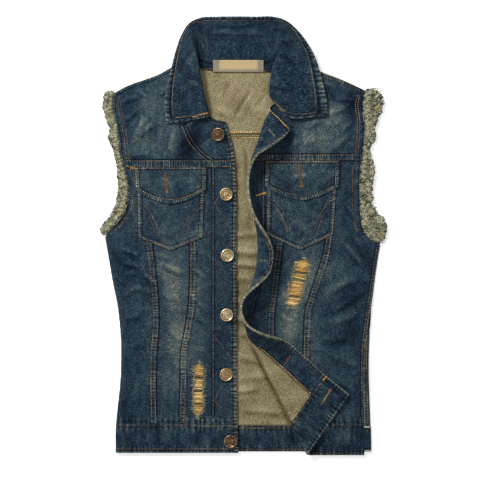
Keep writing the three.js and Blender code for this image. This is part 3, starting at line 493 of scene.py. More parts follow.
# The collar's plan: x runs along it from the right tip, y from its free edge to the neck seam.
COLLAR_LENGTH = 460.0
COLLAR_DEPTH = 76.0
COLLAR_WRINKLES = [
    (180, 38, 282, 33, 4, -1.0), (188, 24, 273, 27, 6, 1.0), (201, 52, 259, 49, 5, 0.8),
    (43, 27, 47, 54, 5, 0.8), (72, 18, 93, 45, 6, 0.9), (108, 27, 127, 56, 6, 1.0),
    (374, 22, 360, 50, 6, 1.0), (403, 27, 407, 54, 5, 0.8), (338, 23, 324, 54, 6, 1.0),
]


def collar_cloth(x, y):
    x, y = np.broadcast_arrays(np.asarray(x, float), np.asarray(y, float))
    u, v = 1 - np.clip(x / COLLAR_LENGTH, 0, 1), np.clip(y / COLLAR_DEPTH, 0, 1)
    lines = np.array(SECTIONS, float)
    crossing = np.stack([catmull(lines[:, k], u.ravel()) for k in range(4)])
    place = catmull(crossing, 1 - v.ravel()).reshape(*u.shape, 3)
    place[..., 2] += 0.8 * crease_sum(COLLAR_WRINKLES, x, y)
    return place


def frames(place, x, y):
    """Places and outward normals of a cloth surface."""
    e = 0.25
    p = place(x, y)
    n = np.cross(place(x + e, y) - place(x - e, y), place(x, y + e) - place(x, y - e))
    return p, n / np.maximum(np.linalg.norm(n, axis=-1, keepdims=True), 1e-9)


# Pitch of the pucker marks along a seam.
PUCKER = 4.2


class Line:
    """A seam, hem or cloth edge: its course in the plan, the ridge and wear along it, and how deep a painted
    shadow line lies beside it.
    """

    def __init__(self, points, half=5.0, rise=0.6, wear=0.8, worn=7.5, pitch=PUCKER, groove=0.5,
                 pale=0.0):
        self.points = np.asarray(points, float)
        self.half, self.rise, self.wear, self.worn = half, rise, wear, worn
        self.pitch, self.groove, self.pale = pitch, groove, pale

    def nearest(self, x, y):
        """Distance along the line and distance from it."""
        a, b = self.points[:-1], self.points[1:]
        d = b - a
        size = np.linalg.norm(d, axis=1)
        start = np.concatenate([[0], np.cumsum(size)[:-1]])
        best = np.full(x.shape, 1e9)
        along = np.zeros(x.shape)
        for (ax, ay), (dx, dy), length, s in zip(a, d, size, start):
            t = np.clip(((x - ax) * dx + (y - ay) * dy) / length**2, 0, 1)
            gone = np.hypot(x - ax - t * dx, y - ay - t * dy)
            nearer = gone < best
            best = np.where(nearer, gone, best)
            along = np.where(nearer, s + t * length, along)
        return along, best


def down(column, y0, y1, count=40, dx=0.0):
    """The course of a table's column between two heights."""
    y = np.linspace(y0, y1, count)
    return np.stack([column(y) + dx, y], axis=1)


def relief(lines, x, y):
    """Ridges of the seams and edges, puckered between the stitches."""
    total = np.zeros(x.shape)
    for line in lines:
        if not line.rise:
            continue
        s, d = line.nearest(x, y)
        ridge = line.rise * (1 - smooth((d - line.half) / 2.2))
        pucker = 0.6 * noise(s / line.pitch, d / 9, 7) * (1 - smooth((d - line.half - 2) / 5))
        total = np.maximum(total, ridge) + 0.5 * line.rise * pucker
    return total


def wear_field(lines, x, y):
    """For each point the strongest worn line: way along it, distance beyond its ridge, strength, the depth of
    its painted shadow line and how pale its very edge is."""
    field = np.zeros((*x.shape, 5))
    field[..., 1] = 50
    for line in lines:
        s, d = line.nearest(x, y)
        strength = line.wear * (1 - smooth((d - 0.35 * line.worn) / line.worn))
        stronger = strength > field[..., 2]
        even = s * PUCKER / line.pitch + 37 * line.half
        found = np.stack([even, d - line.half, strength, np.full(x.shape, line.groove), field[..., 4]], -1)
        field = np.where(stronger[..., None], found, field)
        field[..., 4] = np.maximum(field[..., 4], line.pale * np.exp(-((d / 2.1) ** 2)))
    return field


# Washed-out places of the denim and dark places, among them painted shadows of folds, in the plan: middle,
# half sizes, direction, amount.
FADES_AND_SHADOWS = [
    (-166, 190, 26, 34, 0, 0.34), (-164, 150, 34, 16, 0, 0.26), (-190, 214, 14, 18, 20, -0.28),
    (-150, 226, 34, 18, 10, 0.22), (-92, 152, 14, 28, -35, -0.95), (-118, 170, 16, 34, 10, 0.36),
    (-72, 150, 12, 12, 0, 0.1), (-200, 176, 9, 30, 0, -0.3), (-120, -62, 24, 40, 5, 0.38),
    (-114, -120, 22, 64, 8, 0.36), (-106, -170, 18, 40, 0, 0.3), (-120, -226, 24, 60, 0, 0.28),
    (-118, 0, 46, 20, 0, 0.1), (-122, 92, 46, 12, 0, 0.15), (-196, -50, 20, 30, 0, -0.2),
    (-182, -190, 22, 90, 0, -0.02), (-200, -300, 12, 60, 0, -0.25), (-76, -80, 14, 60, 0, 0.3),
    (-76, -190, 12, 40, 0, 0.15), (-30, -60, 20, 280, 0, -0.05), (146, 204, 24, 22, -20, 0.42),
    (110, 160, 36, 24, 30, 0.48), (152, 160, 26, 24, 0, 0.28), (186, 220, 16, 22, 0, -0.42),
    (126, 240, 34, 9, -12, -0.35), (72, 176, 18, 26, 30, -0.4), (80, -150, 18, 66, -14, 0.6),
    (106, -60, 20, 36, -14, 0.55), (70, -110, 16, 40, 0, 0.2), (150, -60, 22, 22, -40, 0.24),
    (146, -96, 26, 14, 30, 0.18), (206, -40, 12, 34, 20, -0.3), (176, -104, 30, 12, 30, -0.45),
    (158, -138, 30, 14, 30, 0.12), (172, -166, 34, 14, 26, -0.35), (118, -180, 16, 40, 0, 0.25),
    (150, -240, 36, 46, 0, 0.05), (200, -270, 12, 60, 0, -0.25), (102, 104, 44, 16, 0, 0.1),
    (96, 16, 44, 24, 0, 0.06), (176, 60, 14, 60, 0, -0.2), (-130, 268, 30, 10, -20, 0.3),
    (110, 262, 40, 10, 15, 0.1), (-30, 176, 24, 26, 0, -0.12),
]


BASE_TONE = 0.44
FADE_SHARE = 0.6


# Tone of the fronts: washed-out places, dark places that are partly painted fold shadow, and crease marks
# that are partly painted shade.
def front_fade_and_shade(x, y):
    total = np.full(np.broadcast(x, y).shape, BASE_TONE)
    for *place, amount in FADES_AND_SHADOWS:
        total = total + FADE_SHARE * amount * ellipse(x, y, *place)
    return total + 0.05 * noise(x / 26, y / 26, 11) + crease_wash_and_shade(CREASES, x, y)


def tape_fade(x, y):
    return 0.34 + 0.05 * noise(x / 24, y / 24, 13)


def band_fade(x, y):
    """Upright smudges of the hem bands, where their puckers were washed."""
    smudge = 0.13 * noise(x / 5.5, y / 26, 23) + 0.12 * noise(x / 12, y / 17, 24)
    return 0.38 + smudge


# Tone of the collar: random mottle, and crease marks that are partly painted shade.
def collar_fade_and_shade(x, y):
    mottle = 0.07 * noise(x / 21, y / 9, 25) + 0.05 * noise(x / 9, y / 5, 26)
    return 0.39 + mottle + 2.2 * crease_wash_and_shade(COLLAR_WRINKLES, x, y)


# The fronts' tone, with its painted fold shadows and crease shade, and random mottle.
def pocket_fade_and_shade(x, y):
    mottle = 0.09 * noise(x / 15, y / 13, 27) + 0.08 * noise(x / 7, y / 6, 28)
    return front_fade_and_shade(x, y) + 0.02 + mottle


def facing_fade(x, y):
    return 0.41 + 0.1 * noise(x / 14, y / 12, 29) + 0.1 * noise(x / 9, y / 5.5, 30)


def mesh_object(name, points, faces, look, slots=None):
    """A smooth object from points in millimetres of the plan. slots gives each face's material."""
    mesh = bpy.data.meshes.new(name)
    world = (np.asarray(points, float) + SHIFT) * MM
    world[:, 2] = np.maximum(world[:, 2], 0)
    mesh.from_pydata(world.tolist(), [], faces)
    for material in look:
        mesh.materials.append(material)
    if slots is not None:
        mesh.polygons.foreach_set("material_index", np.asarray(slots, np.int32))
    mesh.polygons.foreach_set("use_smooth", np.ones(len(mesh.polygons), bool))
    mesh.update()
    obj = bpy.data.objects.new(name, mesh)
    bpy.context.scene.collection.objects.link(obj)
    return obj


def give(obj, name, values):
    """A value or a vector for each point of a mesh."""
    kind = "FLOAT_VECTOR" if np.ndim(values) == 2 else "FLOAT"
    attribute = obj.data.attributes.new(name, kind, "POINT")
    key = "vector" if kind == "FLOAT_VECTOR" else "value"
    attribute.data.foreach_set(key, np.asarray(values, np.float32).ravel())


def give_plan(obj, plan):
    """The plan in metres, as the UV map that the weave follows."""
    layer = obj.data.uv_layers.new(name="plan")
    loops = np.zeros(len(obj.data.loops), np.int32)
    obj.data.loops.foreach_get("vertex_index", loops)
    layer.data.foreach_set("uv", (plan[loops] * MM).astype(np.float32).ravel())


def shell_faces(rows, columns, keep):
    """Faces of a closed shell over a grid: outer, inner and rim quads. keep marks the cells it has."""
    index = np.arange(rows * columns).reshape(rows, columns)
    inner = rows * columns
    a, b = index[:-1, :-1], index[:-1, 1:]
    c, d = index[1:, 1:], index[1:, :-1]
    outer_faces = np.stack([a, b, c, d], -1)[keep]
    inner_faces = outer_faces[:, ::-1] + inner
    rims = []
    padded = np.pad(keep, 1)
    for near, p, q in (
        (padded[:-2, 1:-1], a, b), (padded[1:-1, 2:], b, c),
        (padded[2:, 1:-1], c, d), (padded[1:-1, :-2], d, a),
    ):
        bare = keep & ~near
        rims.append(np.stack([q[bare], p[bare], p[bare] + inner, q[bare] + inner], -1))
    rim_faces = np.concatenate(rims)
    faces = np.concatenate([outer_faces, inner_faces, rim_faces])
    slots = np.repeat([0, 1, 2], [len(outer_faces), len(inner_faces), len(rim_faces)])
    return faces, slots


def looks_up(normals):
    """1 where a face looks up or sideways and 0 where it looks down, so that undersides stay flat."""
    return smooth((normals[..., 2] + 0.35) / 0.5)


class Cloth:
    """A cut piece of cloth: a place function over its plan, a thickness, and what is sewn along it."""

    def __init__(self, node, cut, place, thick, looks, size, lines=(), base=0.0, fade=front_fade_and_shade,
                 step=None, keep=None, extra=None, folded=False, shade=None, inside_lines=(), slot="denim",
                 replaces=True):
        self.place, self.thick, self.base, self.folded = place, thick, base, folded
        self.lines, self.inside_lines, self.extra = list(lines), list(inside_lines), extra
        step = step or STEP
        columns = max(int(size[0] / step), 4) + 1
        rows = max(int(size[1] / step), 4) + 1
        u, v = np.meshgrid(np.linspace(0, 1, columns), np.linspace(0, 1, rows))
        x, y = cut(u, v)
        p, n = frames(place, x, y)
        outer = p + n * (base + thick / 2 + self.rise(x, y) * looks_up(n))[..., None]
        inner = p + n * (base - thick / 2 - self.inside_rise(x, y) * looks_up(-n))[..., None]
        kept = np.ones((rows - 1, columns - 1), bool)
        if keep is not None:
            kept = keep((x[1:, 1:] + x[:-1, :-1]) / 2, (y[1:, 1:] + y[:-1, :-1]) / 2)
        faces, slots = shell_faces(rows, columns, kept)
        points = np.concatenate([outer.reshape(-1, 3), inner.reshape(-1, 3)])
        used, faces = np.unique(faces, return_inverse=True)
        faces = faces.reshape(-1, 4).tolist()
        self.obj = mesh_object("cloth_" + node, points[used], faces, looks, slots)
        give_plan(self.obj, np.tile(np.stack([x, y], -1).reshape(-1, 2), (2, 1))[used])
        seams = wear_field(self.lines, x, y).reshape(-1, 5)
        inside = wear_field(self.inside_lines or self.lines, x, y).reshape(-1, 5)
        field = np.concatenate([seams, inside])[used]
        field[:, :2] *= MM
        give(self.obj, "seam", field[:, :3])
        # How deep the painted shadow line beside the nearest seam is.
        give(self.obj, "groove", field[:, 3])
        give(self.obj, "pale", field[:, 4])
        inner_shade = shade(x, y) if shade else 0 * x
        for name, values in (("fade", fade(x, y)), ("ridge", self.crease_wear_and_shade(x, y)), ("shade", inner_shade)):
            give(self.obj, name, np.tile(values.ravel(), 2)[used])
        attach(self.obj, BODY)
        if replaces:
            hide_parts(node)
        self.flat = (np.ptp(x) * MM, np.ptp(y) * MM, self.area(x, y, kept) * MM * MM)

    def area(self, x, y, kept):
        ax, ay = x[1:, 1:] - x[:-1, :-1], y[1:, 1:] - y[:-1, :-1]
        bx, by = x[1:, :-1] - x[:-1, 1:], y[1:, :-1] - y[:-1, 1:]
        return float((np.abs(ax * by - ay * bx) / 2)[kept].sum())

    def rise(self, x, y):
        total = relief(self.lines, x, y)
        return total + (self.extra(x, y) if self.extra else 0)

    def inside_rise(self, x, y):
        return relief(self.inside_lines, x, y) if self.inside_lines else 0 * x

    def crease_wear_and_shade(self, x, y):
        """Paler on ridges and darker in troughs, partly wear and partly painted shade: the height less its
        mean close by.
        """
        def height(dx, dy):
            p = self.place(x + dx, y + dy)[..., 2]
            return p + self.extra(x + dx, y + dy) if self.folded else p

        near = [height(dx, dy) for dx, dy in ((7, 0), (-7, 0), (0, 7), (0, -7))]
        return np.clip(height(0, 0) - sum(near) / 4, -1.2, 1.2)

    def on(self, x, y, out=0.0, facing=1):
        """A place on the face, out beyond it. facing -1 is the inner face."""
        p, n = frames(self.place, x, y)
        if facing > 0:
            rise = self.rise(x, y) * looks_up(n)
            return p + n * (self.base + self.thick / 2 + rise + out)[..., None], n
        rise = self.inside_rise(x, y) * looks_up(-n)
        return p + n * (self.base - self.thick / 2 - rise - out)[..., None], -n

    def declare(self, rests_on):
        width, length = (round(size, 3) for size in self.flat[:2])
        # Rounding can leave the rectangle a little smaller than the cloth that lies in it.
        area = min(self.flat[2], width * length)


def tubes(paths, radii, sides):
    """Points and faces of many tapered tubes. paths (n, k, 3), radii (n, k)."""
    n, k, _ = paths.shape
    along = np.gradient(paths, axis=1)
    along /= np.maximum(np.linalg.norm(along, axis=-1, keepdims=True), 1e-9)
    up = np.array([0, 0, 1.0])
    across = np.cross(along, up)
    weak = np.linalg.norm(across, axis=-1, keepdims=True) < 0.15
    across = np.where(weak, np.cross(along, [0.3, 1.0, 0.1]), across)
    across /= np.maximum(np.linalg.norm(across, axis=-1, keepdims=True), 1e-9)
    over = np.cross(across, along)
    angles = np.arange(sides) * 2 * math.pi / sides
    ring = np.cos(angles)[:, None] * across[:, :, None] + np.sin(angles)[:, None] * over[:, :, None]
    points = paths[:, :, None] + ring * radii[:, :, None, None]
    base = np.arange(n * k).reshape(n, k)[:, :-1, None] * sides
    near = base + np.arange(sides)
    after = base + (np.arange(sides) + 1) % sides
    faces = np.stack([near, near + sides, after + sides, after], -1).reshape(-1, 4)
    return points.reshape(-1, 3), faces.tolist()


def tube_object(name, paths, radii, look, sides=4, tone=None):
    points, faces = tubes(paths, radii, sides)
    obj = mesh_object(name, points, faces, [look])
    shade = np.zeros(paths.shape[:2]) if tone is None else np.asarray(tone, float)
    shade = shade if shade.ndim == 2 else np.repeat(shade[:, None], paths.shape[1], 1)
    give(obj, "tone", np.repeat(shade.ravel(), sides))
    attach(obj, BODY)
    return obj


# Stitching: thread in millimetres.
STITCH = 2.9
STITCH_GAP = 0.7
THREAD = 0.5


def resample(points, count):
    """A course as evenly spaced points."""
    points = np.asarray(points, float)
    size = np.concatenate([[0], np.cumsum(np.linalg.norm(np.diff(points, axis=0), axis=1))])
    at = np.linspace(0, size[-1], count)
    return np.stack([np.interp(at, size, points[:, 0]), np.interp(at, size, points[:, 1])], 1)


def stitch_paths(cloth, course, facing=1):
    """Each stitch of a row as four points on the cloth."""
    fine = resample(course, 400)
    run = np.linalg.norm(np.diff(cloth.place(fine[:, 0], fine[:, 1]), axis=0), axis=1)
    run = np.concatenate([[0], np.cumsum(run)])
    pitch = STITCH + STITCH_GAP
    count = max(int(run[-1] / pitch), 1)
    at = (np.arange(count) + 0.1)[:, None] * pitch + np.array([0, 0.22, 0.78, 1]) * STITCH
    x, y = np.interp(at, run, fine[:, 0]), np.interp(at, run, fine[:, 1])
    p, n = cloth.on(x, y, 0.0, facing)
    height = np.array([-0.25, 0.2, 0.2, -0.25])
    return p + n * height[None, :, None]


def sew(name, rows, look, radius=THREAD, dull=0.0):
    """One object for many rows. Each row is (cloth, course, facing). dull darkens the thread."""
    paths = np.concatenate([stitch_paths(*row) for row in rows])
    radii = np.tile(np.array([0.12, 1, 1, 0.12]) * radius, (len(paths), 1))
    s = np.arange(len(paths))
    tone = 0.6 * noise(s / 9, 0, 21) + 0.6 * noise(s * 0.9, 0, 22) - dull
    return tube_object(name, paths, radii, look, tone=tone)


def offset(course, distance):
    """A course moved to its left by a distance."""
    course = np.asarray(course, float)
    way = np.gradient(course, axis=0)
    way /= np.maximum(np.linalg.norm(way, axis=1, keepdims=True), 1e-9)
    return course + distance * np.stack([-way[:, 1], way[:, 0]], 1)


class Nodes:
    """A short way to write a node material."""

    def __init__(self, name):
        self.material = bpy.data.materials.new(name)
        self.material.use_nodes = True
        self.tree = self.material.node_tree
        self.shader = self.tree.nodes["Principled BSDF"]

    def add(self, kind, inputs=(), **settings):
        node = self.tree.nodes.new("ShaderNode" + kind)
        for key, value in settings.items():
            setattr(node, key, value)
        for key, value in dict(inputs).items():
            self.put(node.inputs[key], value)
        return node

    def put(self, socket, value):
        if isinstance(value, bpy.types.NodeSocket):
            self.tree.links.new(value, socket)
        else:
            socket.default_value = value

    def math(self, operation, a, b):
        return self.add("Math", {0: a, 1: b}, operation=operation).outputs[0]

    def times(self, a, b):
        return self.math("MULTIPLY", a, b)

    def plus(self, tone, value, amount):
        """tone with an amount of value added."""
        return self.math("ADD", tone, self.times(value, amount))

    def grained(self, tone, grains):
        """tone varied by noises, each with its amount."""
        for value, amount in grains:
            tone = self.plus(tone, self.math("SUBTRACT", value, 0.5), amount)
        return tone

    def value(self, name):
        return self.add("Attribute", attribute_name=name).outputs["Fac"]

    def scaled(self, vector, scale):
        return self.add("VectorMath", {0: vector, 1: scale}, operation="MULTIPLY").outputs[0]

    def noise(self, vector, scale=1.0, detail=2.0, roughness=0.5):
        inputs = {"Vector": vector, "Scale": scale, "Detail": detail, "Roughness": roughness}
        return self.add("TexNoise", inputs).outputs["Fac"]

    def stretched(self, vector, scales, detail=2.0, roughness=0.5):
        """Noise of its own scale each way."""
        return self.noise(self.scaled(vector, (*scales, 0)), 1.0, detail, roughness)

    def ramp(self, value, stops):
        node = self.add("ValToRGB", {"Fac": value})
        ramp = node.color_ramp
        while len(ramp.elements) < len(stops):
            ramp.elements.new(0.5)
        for element, (place, colour) in zip(ramp.elements, stops):
            element.position = place
            element.color = (*colour, 1)
        return node.outputs["Color"]

    def map(self, value, low_in, high_in, low_out=0.0, high_out=1.0):
        node = self.add("MapRange", {0: value, 1: low_in, 2: high_in, 3: low_out, 4: high_out})
        return node.outputs[0]

    def mixed(self, share, a, b):
        node = self.add("Mix", data_type="RGBA")
        self.put(node.inputs[0], share)
        self.put(node.inputs[6], a)
        self.put(node.inputs[7], b)
        return node.outputs[2]

    def finish(self, colour, roughness=0.9, bump=None, strength=0.4, distance=0.0004, sheen=0.0,
               metallic=0.0):
        self.put(self.shader.inputs["Base Color"], colour)
        self.shader.inputs["Roughness"].default_value = roughness
        self.shader.inputs["Metallic"].default_value = metallic
        self.shader.inputs["Sheen Weight"].default_value = sheen
        self.shader.inputs["Specular IOR Level"].default_value = 0.5 if metallic else 0.12
        if bump is not None:
            node = self.add("Bump", {"Height": bump, "Strength": strength, "Distance": distance})
            self.put(self.shader.inputs["Normal"], node.outputs[0])
        return self.material


def plan_of(nodes):
    return nodes.add("UVMap", uv_map="plan").outputs[0]


def twill(nodes, plan):
    """Fine diagonal ribs of the weave."""
    turn = {"Vector": plan, "Angle": math.radians(-32)}
    turned = nodes.add("VectorRotate", turn, rotation_type="Z_AXIS").outputs[0]
    ribs = {"Vector": turned, "Scale": 260.0, "Distortion": 1.2, "Detail": 1.0, "Detail Scale": 2.0}
    return nodes.add("TexWave", ribs, wave_type="BANDS").outputs["Fac"]


def ladder_wear(nodes):
    """Bleached bars across the seams, from the way along the seam and the distance from it, and a painted
    shadow line just beyond the seam's ridge.
    """
    field = nodes.add("Attribute", attribute_name="seam").outputs["Vector"]
    parts = nodes.add("SeparateXYZ", {0: field})
    ladder = {"Vector": nodes.scaled(field, (1, 0.2, 0)), "Scale": 0.314 / PUCKER / MM,
              "Distortion": 9.0, "Detail": 3.0, "Detail Scale": 1.2}
    wave = nodes.add("TexWave", ladder, wave_type="BANDS").outputs["Fac"]
    uneven = nodes.map(nodes.stretched(field, (45, 40)), 0.32, 0.66, 0.2, 1.0)
    bars = nodes.math("SUBTRACT", wave, 0.42)
    worn = nodes.times(nodes.times(bars, uneven), parts.outputs["Z"])
    beyond = parts.outputs["Y"]
    near = nodes.map(beyond, -0.0004, 0.0004, 1.0, 0.0)
    seam_shadow_line = nodes.times(nodes.map(beyond, 0.0012, 0.0026, 1.0, 0.0), nodes.math("SUBTRACT", 1.0, near))
    return worn, nodes.times(seam_shadow_line, nodes.value("groove"))


DENIM_STOPS = [
    (0.0, (0.0015, 0.0030, 0.0065)),
    (0.2, (0.0042, 0.0100, 0.0225)),
    (0.4, (0.0110, 0.0270, 0.0450)),
    (0.55, (0.0260, 0.0490, 0.0660)),
    (0.7, (0.055, 0.080, 0.085)),
    (0.85, (0.105, 0.125, 0.112)),
    (1.0, (0.23, 0.245, 0.20)),
]


def denim(name, darker=0.0):
    nodes = Nodes(name)
    plan = plan_of(nodes)
    streaks = nodes.stretched(plan, (760, 260), 2.0, 0.6)
    slubs = nodes.stretched(plan, (200, 80), 3.0, 0.6)
    clouds = nodes.stretched(plan, (34, 26), 4.0, 0.6)
    blots = nodes.stretched(plan, (110, 80), 3.0, 0.6)
    specks = nodes.noise(plan, 430.0, 1.0, 0.7)
    worn, seam_shadow_line = ladder_wear(nodes)
    # On the fronts, pockets and collar the fade attribute also holds painted fold shadows and crease shade.
    tone = nodes.math("SUBTRACT", nodes.value("fade"), darker)
    grains = ((streaks, 0.85), (slubs, 0.4), (blots, 0.42), (clouds, 0.45), (specks, 0.95))
    tone = nodes.grained(tone, grains)
    # The ridge tone is partly wear and partly painted shade: paler on ridges, darker in troughs.
    marks = ((nodes.value("ridge"), 0.08), (worn, 0.82), (nodes.value("pale"), 0.42), (seam_shadow_line, -0.6))
    # The last of these marks darkens a painted shadow line beside the seams.
    for value, amount in marks:
        tone = nodes.plus(tone, value, amount)
    colour = nodes.ramp(tone, DENIM_STOPS)
    tint = nodes.map(streaks, 0.48, 0.7, 0.0, 0.3)
    share = nodes.times(tint, nodes.map(tone, 0.4, 0.8, 0.05, 0.6))
    colour = nodes.mixed(share, colour, (0.075, 0.078, 0.040, 1))
    bump = nodes.plus(nodes.times(twill(nodes, plan), 0.5), specks, 0.9)
    bump = nodes.plus(bump, slubs, 1.2)
    return nodes.finish(colour, 0.9, bump, 0.8, 0.0007)


def khaki(name):
    nodes = Nodes(name)
    plan = plan_of(nodes)
    weft = nodes.stretched(plan, (260, 760), 2.0, 0.6)
    warp = nodes.stretched(plan, (500, 120))
    clouds = nodes.stretched(plan, (30, 26), 3.0)
    specks = nodes.noise(plan, 560.0, 2.0, 0.7)
    worn, seam_shadow_line = ladder_wear(nodes)
    # The ridge tone is partly wear and partly painted shade. The shade attribute holds painted shadow along
    # the turned-back fold, crease marks that are partly painted shade, and random marks.
    tone = nodes.math("ADD", nodes.plus(0.58, nodes.value("ridge"), 0.1), nodes.value("shade"))
    tone = nodes.grained(tone, ((weft, 0.8), (warp, 0.5), (clouds, 0.4), (specks, 1.2)))
    # A painted shadow line beside the seams darkens the tone.
    tone = nodes.plus(nodes.plus(tone, worn, 0.3), seam_shadow_line, -0.25)
    colour = nodes.ramp(
        tone,
        [(0.2, (0.055, 0.045, 0.02)), (0.4, (0.125, 0.1, 0.048)), (0.55, (0.195, 0.162, 0.085)),
         (0.7, (0.27, 0.235, 0.135)), (0.9, (0.4, 0.36, 0.24))],
    )
    bump = nodes.math("ADD", weft, specks)
    return nodes.finish(colour, 0.92, bump, 0.8, 0.0007)


def worn_edge(name):
    nodes = Nodes(name)
    plan = plan_of(nodes)
    grain = nodes.noise(plan, 420.0, 2.0)
    colour = nodes.ramp(
        grain, [(0.3, (0.045, 0.055, 0.05)), (0.5, (0.16, 0.17, 0.12)), (0.7, (0.36, 0.35, 0.23))]
    )
    return nodes.finish(colour, 0.95, grain, 0.4, 0.0004)


def yarn(name, stops, scale=900.0, sheen=0.1):
    """Loose threads: tone varies from one to the next and along each."""
    nodes = Nodes(name)
    place = nodes.add("TexCoord").outputs["Object"]
    grain = nodes.noise(place, scale, 2.0)
    tone = nodes.math("ADD", nodes.times(nodes.value("tone"), 0.5), grain)
    colour = nodes.ramp(tone, stops)
    return nodes.finish(colour, 0.85, grain, 0.3, 0.0003, sheen=sheen)


def brass(name, stops, roughness):
    nodes = Nodes(name)
    place = nodes.add("TexCoord").outputs["Object"]
    stain = nodes.noise(place, 260.0, 4.0, 0.6)
    hollow = nodes.add("NewGeometry").outputs["Pointiness"]
    tone = nodes.math("ADD", nodes.times(nodes.math("SUBTRACT", hollow, 0.5), 3.0), stain)
    colour = nodes.ramp(tone, stops)
    return nodes.finish(colour, roughness, stain, 0.2, 0.0002, metallic=0.85)


DENIM = denim("denim")
DENIM_DARK = denim("denim_band", darker=0.03)
KHAKI = khaki("denim_inside")
EDGE = worn_edge("worn_edge")
THREAD_LOOK = yarn(
    "thread",
    [(0.15, (0.036, 0.020, 0.012)), (0.42, (0.135, 0.062, 0.026)), (0.66, (0.26, 0.145, 0.06)),
     (0.95, (0.42, 0.31, 0.175))],
)
FRAY_LOOK = yarn(
    "fray",
    [(0.1, (0.018, 0.02, 0.012)), (0.4, (0.075, 0.078, 0.048)), (0.65, (0.18, 0.18, 0.115)),
     (0.95, (0.4, 0.38, 0.25))],
    500.0,
)
GOLD_LOOK = yarn(
    "bare_threads",
    [(0.15, (0.1, 0.055, 0.018)), (0.42, (0.36, 0.2, 0.055)), (0.65, (0.6, 0.37, 0.11)),
     (0.95, (0.78, 0.6, 0.3))],
    500.0,
)
PALE_LOOK = yarn(
    "pale_threads",
    [(0.2, (0.04, 0.05, 0.04)), (0.5, (0.15, 0.16, 0.11)), (0.85, (0.42, 0.41, 0.28))],
    500.0,
)

DENIM_SHELL = [DENIM, KHAKI, EDGE]
BAND_SHELL = [DENIM_DARK, DENIM_DARK, EDGE]
BACK_SHELL = [KHAKI, DENIM, EDGE]


def between(x_left, x_right, y0, y1):
    """The cut of a panel between two edges that are functions of y."""
    def cut(u, v):
        y = mix(y0, y1, v)
        return mix(x_left(y), x_right(y), u), y
    return cut


def columned(table, name):
    return lambda y: table(name, y)


def patch(bottom, top, left, right):
    """The cut of a piece filled in between four border curves of shares."""
    def cut(u, v):
        b, t, l, r = bottom(u), top(u), left(v), right(v)
        b0, b1 = bottom(np.zeros(1))[0], bottom(np.ones(1))[0]
        t0, t1 = top(np.zeros(1))[0], top(np.ones(1))[0]
        uu, vv = u[..., None], v[..., None]
        p = b * (1 - vv) + t * vv + l * (1 - uu) + r * uu
        p = p - b0 * (1 - uu) * (1 - vv) - b1 * uu * (1 - vv) - t0 * (1 - uu) * vv - t1 * uu * vv
        return p[..., 0], p[..., 1]
    return cut


def straight(a, b):
    return lambda t: mix(np.array(a, float), np.array(b, float), np.asarray(t)[..., None])


def edge_at(column_at, y0, y1):
    def border(t):
        y = mix(y0, y1, np.asarray(t, float))
        return np.stack([column_at(y), y], -1)
    return border


def rip_half(rip, t):
    """Half the width of a worn-through place at a share from -1 to 1 of its height."""
    return rip["width"] / 2 * np.minimum(1, 4.5 * (1.05 - np.abs(t)))


def rip_reach(rip, x, y):
    """How far inside a worn-through place a point is: below 1 is inside."""
    t = (y - rip["y"]) / (rip["height"] / 2)
    ragged = 1 + 0.26 * noise(t * 5, 1, 31) + 0.2 * noise(t * 13, 2, 32)
    half = rip_half(rip, t) * ragged
    middle = rip["x"] + rip["lean"] * (y - rip["y"])
    return np.where(np.abs(t) < 1, np.abs(x - middle) / np.maximum(half, 0.1), 9)


def outside_rip(rip):
    return lambda x, y: rip_reach(rip, x, y) > 1


outer_l, inner_l = columned(seam, "outer_l"), columned(seam, "inner_l")
inner_r, outer_r = columned(seam, "inner_r"), columned(seam, "outer_r")
edge_l, edge_r = columned(seam, "edge_l"), columned(seam, "edge_r")
armhole_l, armhole_r = columned(armhole, "left"), columned(armhole, "right")


def panel_seam(column_at, top_y, groove):
    return Line(down(column_at, BAND_Y, top_y), pitch=5.4, groove=groove)


# Sewn lines of the left front.
YOKE_L = Line([(-240, YOKE_LEFT_Y), (-8, YOKE_LEFT_Y)], half=6, worn=8, rise=0.7, wear=1.0, groove=0.9)
OUTER_L, INNER_L = (panel_seam(column, YOKE_LEFT_Y, 0.25) for column in (outer_l, inner_l))
MIDDLE_L = [panel_seam(column, YOKE_LEFT_Y, 1.0) for column in (outer_l, inner_l)]
PLACKET_X = -51
PLACKET_CURVE = [(-98, 186), (-87, 161), (-68, 139), (-52, 128), (PLACKET_X, 112)]
PLACKET_L = Line([*spline(PLACKET_CURVE, np.linspace(0, 1, 30)), (PLACKET_X, BAND_Y)],
                 half=1.5, rise=0.25, wear=0.35, worn=5)
EDGE_L = Line(down(edge_l, HEM_Y, 190, 50), half=5, rise=0.6, wear=1.25, worn=10, pitch=6.6, pale=0.6)
ARM_L = Line(down(armhole_l, 0, 243), half=3, rise=0.3, wear=0.6, worn=8)
NECK_L = Line([(-12, 191), (-30, 191.5), (-51, 197), (-64, 212), (-76, 250), (-87, 294)],
              half=3, rise=0.4, wear=0.5, worn=8)
BAND_TOP_L = Line([(-240, BAND_Y), (-8, BAND_Y)], half=3, rise=0.3, wear=0.75, worn=13, pitch=9.0)
HEM_L = Line([(-240, HEM_Y), (-8, HEM_Y)], half=4, rise=0.4, wear=0.8, worn=12, pitch=6.8, pale=0.5)
SHOULDER_L = Line([(-217, SHOULDER_LEFT_Y), (-187, 255.5), (-150, 267.5), (-121, 283), (-87, 294)],
                  half=4, rise=0.5, worn=7)
LEFT_LINES = [YOKE_L, OUTER_L, INNER_L, PLACKET_L, EDGE_L, ARM_L, BAND_TOP_L]

